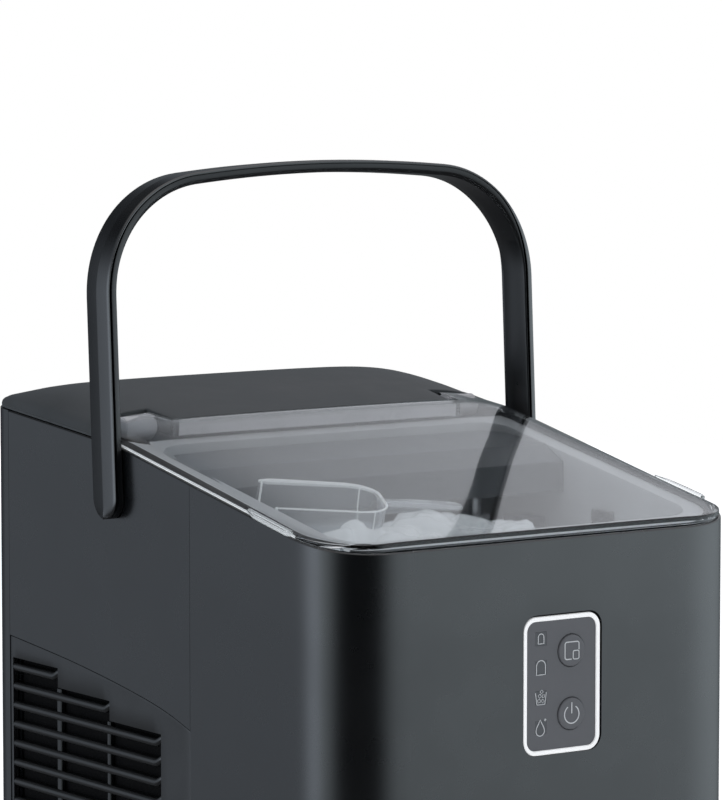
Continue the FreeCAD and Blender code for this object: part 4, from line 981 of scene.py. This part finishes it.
def handle_line():
    """Outer line of the bail in its own plane: (x, z, nx, nz, share of facet), right foot to left foot."""
    cx = HANDLE_HALF - HANDLE_CORNER_R
    cz = HANDLE_CORNER_Z
    top_c = HANDLE_TOP_Z - HANDLE_TOP_R
    end = atan2(cz - top_c, cx)
    legs = [-HANDLE_HALF_STRAP * cos(radians(90.0 * i / 12)) * 0.9995 for i in range(13)]
    right = [(HANDLE_HALF, z, 1.0, 0.0, 1.0) for z in legs + [12.0, 35.0, 60.0, 75.0]]
    for i in range(29):
        c = cos(end * i / 28)
        s = sin(end * i / 28)
        fade = max(0.0, 1.0 - (i / 28) / 0.62)
        fade = fade * fade * (3 - 2 * fade)
        right.append((cx + HANDLE_CORNER_R * c, cz + HANDLE_CORNER_R * s, c, s, fade))
    for i in range(1, 11):
        a = end + (pi / 2 - end) * i / 10
        c = cos(a)
        s = sin(a)
        right.append((HANDLE_TOP_R * c, top_c + HANDLE_TOP_R * s, c, s, 0.0))
    return right + [(-x, z, -nx, nz, f) for x, z, nx, nz, f in reversed(right[:-1])]


def place_handle(x, y, z):
    c = cos(-HANDLE_TILT)
    s = sin(-HANDLE_TILT)
    return (x, HANDLE_Y + y * c - z * s, HANDLE_Z + y * s + z * c)


def strap(name, profile):
    """Sweeps (y, inset) points, given by a function of the facet share and the side, along the bail."""
    sections = []
    for x, z, nx, nz, share in handle_line():
        round_foot = max(1.0 - (z / HANDLE_HALF_STRAP) ** 2, 0.0)
        narrow = max(sqrt(round_foot), 0.02) if z < 0 else 1.0
        side = copysign(1.0, x)
        sections.append([place_handle(x - nx * d, y * narrow, z - nz * d) for y, d in profile(share, side)])
    return sweep(name, sections)


def groove_span(share, side):
    """Where the dark channel between the two straps starts and ends, as depths from the outside."""
    leg = 1.55 if side < 0 else 3.35
    start = 1.25 + (leg - 1.25) * share
    return start, start + 0.45 + 0.75 * share


def outer_profile(share, side):
    """Cover strap: two facets with a crest on the legs, one soft curve over the top."""
    crest = -1.0
    edge = 0.25 + 0.75 * share
    low = groove_span(share, side)[0]
    return [(-9.6, min(edge + 0.55, low - 0.12)), (-9.45, edge + 0.30), (-9.1, edge + 0.10),
            (-8.0, edge - 0.30 * share), (crest - 0.35, 0.04 + 0.06 * share), (crest, 0.0),
            (crest + 0.35, 0.04 + 0.04 * share), (8.3, edge + 0.05 - 0.15 * share),
            (9.1, edge + 0.12 + 0.09 * share), (9.5, edge + 0.35), (9.6, min(edge + 0.6, low - 0.12)),
            (9.55, low), (-9.55, low)]


def inner_profile(share, side):
    """Core strap behind the cover, with the dark channel between the two."""
    start, deep = groove_span(share, side)
    neck = 9.1 - 1.7 * share
    low = HANDLE_T
    rear_low = low - 1.2 * share * max(side, 0.0)
    crease = low - 0.15 * share
    bow = 1.3 * (1.0 - share)
    return [(-neck, start - 0.05), (-neck, deep - 0.12), (-9.2, deep), (-9.55, deep + 0.14),
            (-9.55, low - 0.62 - bow), (-9.3, low - 0.22 - 0.7 * bow), (-8.8 + 0.5 * bow, low), (1.2, crease),
            (3.2, crease - 0.25 * share), (8.8, rear_low), (9.3, rear_low - 0.22), (9.55, rear_low - 0.62),
            (9.55, deep + 0.14), (9.2, deep), (neck, deep - 0.12), (neck, start - 0.05)]


def build_handle():
    outer = strap("handle_cover_strap", outer_profile)
    inner = strap("handle_core_strap", inner_profile)
    piece(outer, "handle", "handle_black", ("handle_outer_shell",))
    piece(inner, "handle", "handle_black", ("handle_inner_shell",), "inside_black")


# ---- control panel
def ribbon(points, width, y, closed=False):
    """Thin raised stroke along a flat line of (x, z) points on the front face."""
    n = len(points)
    front = y - 0.09
    back = y + 0.05
    sections = []
    for i, (x, z) in enumerate(points):
        if closed:
            a, b = points[i - 1], points[(i + 1) % n]
        else:
            a, b = points[max(i - 1, 0)], points[min(i + 1, n - 1)]
        t = (Vector(b) - Vector(a)).normalized()
        ox, oz = -t.y * width / 2, t.x * width / 2
        sections.append([(x + ox, back, z + oz), (x + ox, front, z + oz), (x - ox, front, z - oz),
                         (x - ox, back, z - oz)])
    if closed:
        sections.append(sections[0])
    return sweep("stroke", sections, cap=not closed)


def arc(cx, cz, r, a0, a1, n=16):
    return [(cx + r * cos(radians(a)), cz + r * sin(radians(a))) for a in spread(a0, a1, n)]


def cube_outline(cx, cz, w, h):
    """Bullet-shaped ice cube: square foot and round head."""
    r = w / 2
    z0 = cz - h / 2
    return [(cx, z0), (cx + r, z0)] + arc(cx, z0 + h - r, r, 0, 180, 14) + [(cx - r, z0)]


def flat_frame(name, levels):
    """Closed frame through flat outlines, each given with its y."""
    sections = [[(x, y, z) for x, z in loop] for loop, y in levels]
    return sweep(name, sections + sections[:1], cap=False)


def build_panel_ring(cx, cz, w, h):
    """White ring round the panel and a matte dark band in the gap outside it: painted shade for the shadowed
    gap.
    """
    outer = rounded_rect(cx, cz, w, h, 6.5)
    mid = rounded_rect(cx, cz, w - 0.5, h - 0.5, 6.25)
    mid_in = rounded_rect(cx, cz, w - 3.5, h - 3.5, 4.75)
    inside = rounded_rect(cx, cz, w - 4.0, h - 4.0, 4.5)
    ring = flat_frame("panel_ring", ((outer, -136.5), (outer, -139.55), (mid, -139.85), (mid_in, -139.85),
                                     (inside, -139.55), (inside, -136.5)))
    tidy_normals(ring, merge=True)
    piece(ring, "casing", "panel_white", ("control_bezel",))

    # matte dark band round the ring: painted shade in the gap
    gap_shade_in = rounded_rect(cx, cz, w + 0.04, h + 0.04, 6.5)
    gap_shade_out = rounded_rect(cx + 0.32, cz + 0.32, w + 1.1, h + 1.1, 7.0)
    gap_shade = flat_frame("panel_gap_shade", ((gap_shade_in, -138.2), (gap_shade_in, -138.9), (gap_shade_out, -138.9),
                                     (gap_shade_out, -138.2)))
    piece(gap_shade, "casing", "casing_black", look="shade_matte")


def build_indicator_icons():
    """Small cube, large cube, full basket and drop with a plus, beside the four indicators."""
    y = -139.2
    lens_low, lens_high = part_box("indicator_lenses")
    x = (lens_low.x + lens_high.x) / 2 / MM
    small_z, large_z, cup_z, drop_z = 211.1, 198.6, 185.6, 172.7
    ink = [ribbon(cube_outline(x, small_z, 3.0, 4.3), 0.36, y, True),
           ribbon(cube_outline(x, large_z, 4.8, 6.2), 0.38, y, True),
           ribbon([(x - 2.9, cup_z + 2.2), (x - 2.1, cup_z - 3.0), (x + 2.1, cup_z - 3.0),
                   (x + 2.9, cup_z + 2.2)], 0.34, y)]
    for dx, dz, s, turn in ((-1.0, -1.4, 1.5, 12), (1.0, -1.5, 1.4, 40), (-0.6, 0.7, 1.5, 30),
                            (1.3, 0.6, 1.3, 5), (0.4, 2.5, 1.4, 42)):
        corners = [radians(turn + 45 + 90 * k) for k in range(4)]
        square = [(x + dx + s * 0.62 * cos(a), cup_z + dz + s * 0.62 * sin(a)) for a in corners]
        ink.append(ribbon(square, 0.26, y, True))
    dx = x - 0.3
    drop = [(dx, drop_z + 3.3)] + [(dx + a, drop_z + b) for a, b in ((0.9, 1.6), (1.8, 0.1), (2.25, -1.3))]
    drop += arc(dx, drop_z - 1.5, 2.25, -10, -170, 12)
    drop += [(dx + a, drop_z + b) for a, b in ((-2.25, -1.3), (-1.8, 0.1), (-0.9, 1.6))]
    ink += [ribbon(drop, 0.36, y, True),
            ribbon([(x + 1.7, drop_z + 3.1), (x + 2.9, drop_z + 3.1)], 0.34, y),
            ribbon([(x + 2.3, drop_z + 2.5), (x + 2.3, drop_z + 3.7)], 0.34, y - 0.01)]
    piece(join("indicator_icons", ink), "casing", "panel_white", look="icon_ink")


def build_button_icons():
    for node in ("size_button", "power_button"):
        low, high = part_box(node)
        x = (low.x + high.x) / 2 / MM
        z = (low.z + high.z) / 2 / MM
        face = low.y / MM
        if node == "power_button":
            marks = [ribbon(arc(x, z - 0.3, 3.9, 122, 418, 30), 0.5, face),
                     ribbon([(x, z + 0.1), (x, z + 4.9)], 0.5, face - 0.01)]
        else:
            s = 3.75
            big = [(x + s, z + 0.2), (x + s, z + s - 1.0)]
            for sx, sz, start in ((1, 1, 0), (-1, 1, 90), (-1, -1, 180)):
                big += arc(x + sx * (s - 1.0), z + sz * (s - 1.0), 1.0, start, start + 90, 5)
            big.append((x - 0.2, z - s))
            small = rounded_rect(x + s - 1.55, z - s + 1.75, 3.1, 3.7, 0.7, 4)
            marks = [ribbon(big, 0.48, face), ribbon(small, 0.44, face, True)]
        piece(join(node + "_icon", marks), node, "panel_white", look="icon_ink")


# ---- stage, light and camera
# studio brightness round the horizon and higher up: (azimuth in degrees, level)
WORLD_RAMP = ((-180, 1.30), (-171, 1.05), (-159, 0.72), (-149, 0.36), (-139, 0.13), (-131, 0.04),
              (-119, 0.0), (-72, 0.0), (-64, 0.35), (-56, 1.20), (-35, 1.50), (-15, 1.3), (5, 0.85),
              (20, 0.45), (32, 0.16), (50, 0.12), (60, 0.16), (75, 0.12), (92, 0.07), (104, 0.13),
              (112, 0.28), (118, 0.40), (124, 0.47), (142, 0.50), (150, 0.8), (163, 1.6))
HIGH_RAMP = ((-180, 0.8), (-130, 0.05), (-70, 0.1), (-50, 0.8), (-10, 0.9), (20, 0.5), (40, 1.0), (47, 0.72),
             (54, 0.34), (62, 0.22), (72, 0.05), (120, 0.03), (150, 0.3))
FULL_LEVEL = 2.0        # the ramps hold levels as shares of this
COOL_SIDE = (0.90, 1.0, 1.13)
NEUTRAL_SIDE = (0.887, 1.0, 1.073)
SKY_TINT = (0.965, 0.985, 1.045)
BOUNCE = (0.05, 0.052, 0.055)
ZENITH = (0.42, 0.42, 0.43)


def azimuth_ramp(nt, share, table, base_tint):
    """Colour by azimuth; share is 0 to 1 for -180 to 180 degrees."""
    ramp = add_node(nt, "ValToRGB", {"Fac": share})
    stops = ramp.color_ramp.elements
    for i, (angle, level) in enumerate(table):
        at = (angle + 180.0) / 360.0
        stop = stops[i] if i < 2 else stops.new(at)
        stop.position = at
        tint = COOL_SIDE if 60 < angle < 175 else base_tint
        stop.color = (*[level / FULL_LEVEL * c for c in tint], 1)
    return ramp.outputs["Color"]


def band(nt, height, low, high):
    """Smooth step from 0 at one height of the sky to 1 at another."""
    inputs = {"Value": height, "From Min": low, "From Max": high}
    return add_node(nt, "MapRange", inputs, interpolation_type="SMOOTHSTEP").outputs["Result"]


def build_world():
    """Studio of soft panels for light and reflections; the camera itself sees plain white."""
    world = bpy.data.worlds.new("studio")
    scene.world = world
    world.use_nodes = True
    nt = world.node_tree
    nt.nodes.clear()
    coord = add_node(nt, "TexCoord").outputs["Generated"]
    sep = add_node(nt, "SeparateXYZ", {0: coord})
    height = sep.outputs["Z"]
    azimuth = add_node(nt, "Math", {0: sep.outputs["Y"], 1: sep.outputs["X"]}, operation="ARCTAN2")
    share = add_node(nt, "MapRange", {"Value": azimuth.outputs[0], "From Min": -pi, "From Max": pi})
    horizon = azimuth_ramp(nt, share.outputs["Result"], WORLD_RAMP, NEUTRAL_SIDE)
    upper = azimuth_ramp(nt, share.outputs["Result"], HIGH_RAMP, SKY_TINT)
    sky = mix_colours(nt, band(nt, height, 0.16, 0.42), horizon, upper)
    sky = mix_colours(nt, band(nt, height, -0.14, -0.40), sky, (*BOUNCE, 1))
    sky = mix_colours(nt, band(nt, height, 0.60, 0.95), sky, (*ZENITH, 1))
    studio = add_node(nt, "Background", {"Color": sky, "Strength": FULL_LEVEL})
    white = add_node(nt, "Background", {"Color": (1, 1, 1, 1)})
    path = add_node(nt, "LightPath")
    choose = add_node(nt, "MixShader", {"Fac": path.outputs["Is Camera Ray"], 1: studio.outputs[0],
                                        2: white.outputs[0]})
    add_node(nt, "OutputWorld", {"Surface": choose.outputs[0]})


def build_stage():
    floor_r = 2600
    floor_z = -0.2
    ring = [(floor_r * cos(a), floor_r * sin(a), floor_z) for a in turns(48)]
    floor = make_object("studio_floor", ring, [tuple(range(len(ring)))])
    mat = surface("floor_pale", (0.86, 0.86, 0.865), 0.7, vary=0.01, bump=0.03, emission=0.75)
    floor.data.materials.append(mat)
    floor.visible_glossy = False


def build_camera():
    data = bpy.data.cameras.new("camera")
    camera = bpy.data.objects.new("camera", data)
    scene.collection.objects.link(camera)
    camera.location = (-1.1807, -1.7172, 0.51075)
    camera.rotation_euler = (radians(84.29), 0.0, radians(-34.53))
    data.sensor_width = 36.0
    data.lens = 208.9
    data.clip_start = 0.05
    data.clip_end = 60.0
    scene.camera = camera


dress_cad()
build_lid()
build_lid_lips()
build_lid_highlight_bead()
build_lid_barrels()
build_edge_lip()
build_deck()
panel = build_front()
for side, name in ((-1, "left"), (1, "right")):
    build_side(side, name)
    build_grille(side, name)
build_shade_screens()
build_scoop()
build_scoop_rim_highlights()
build_ice()
build_handle()
build_panel_ring(*panel)
build_indicator_icons()
build_button_icons()
build_world()
build_stage()
build_camera()
scene.view_settings.view_transform = "Standard"
scene.view_settings.look = "None"
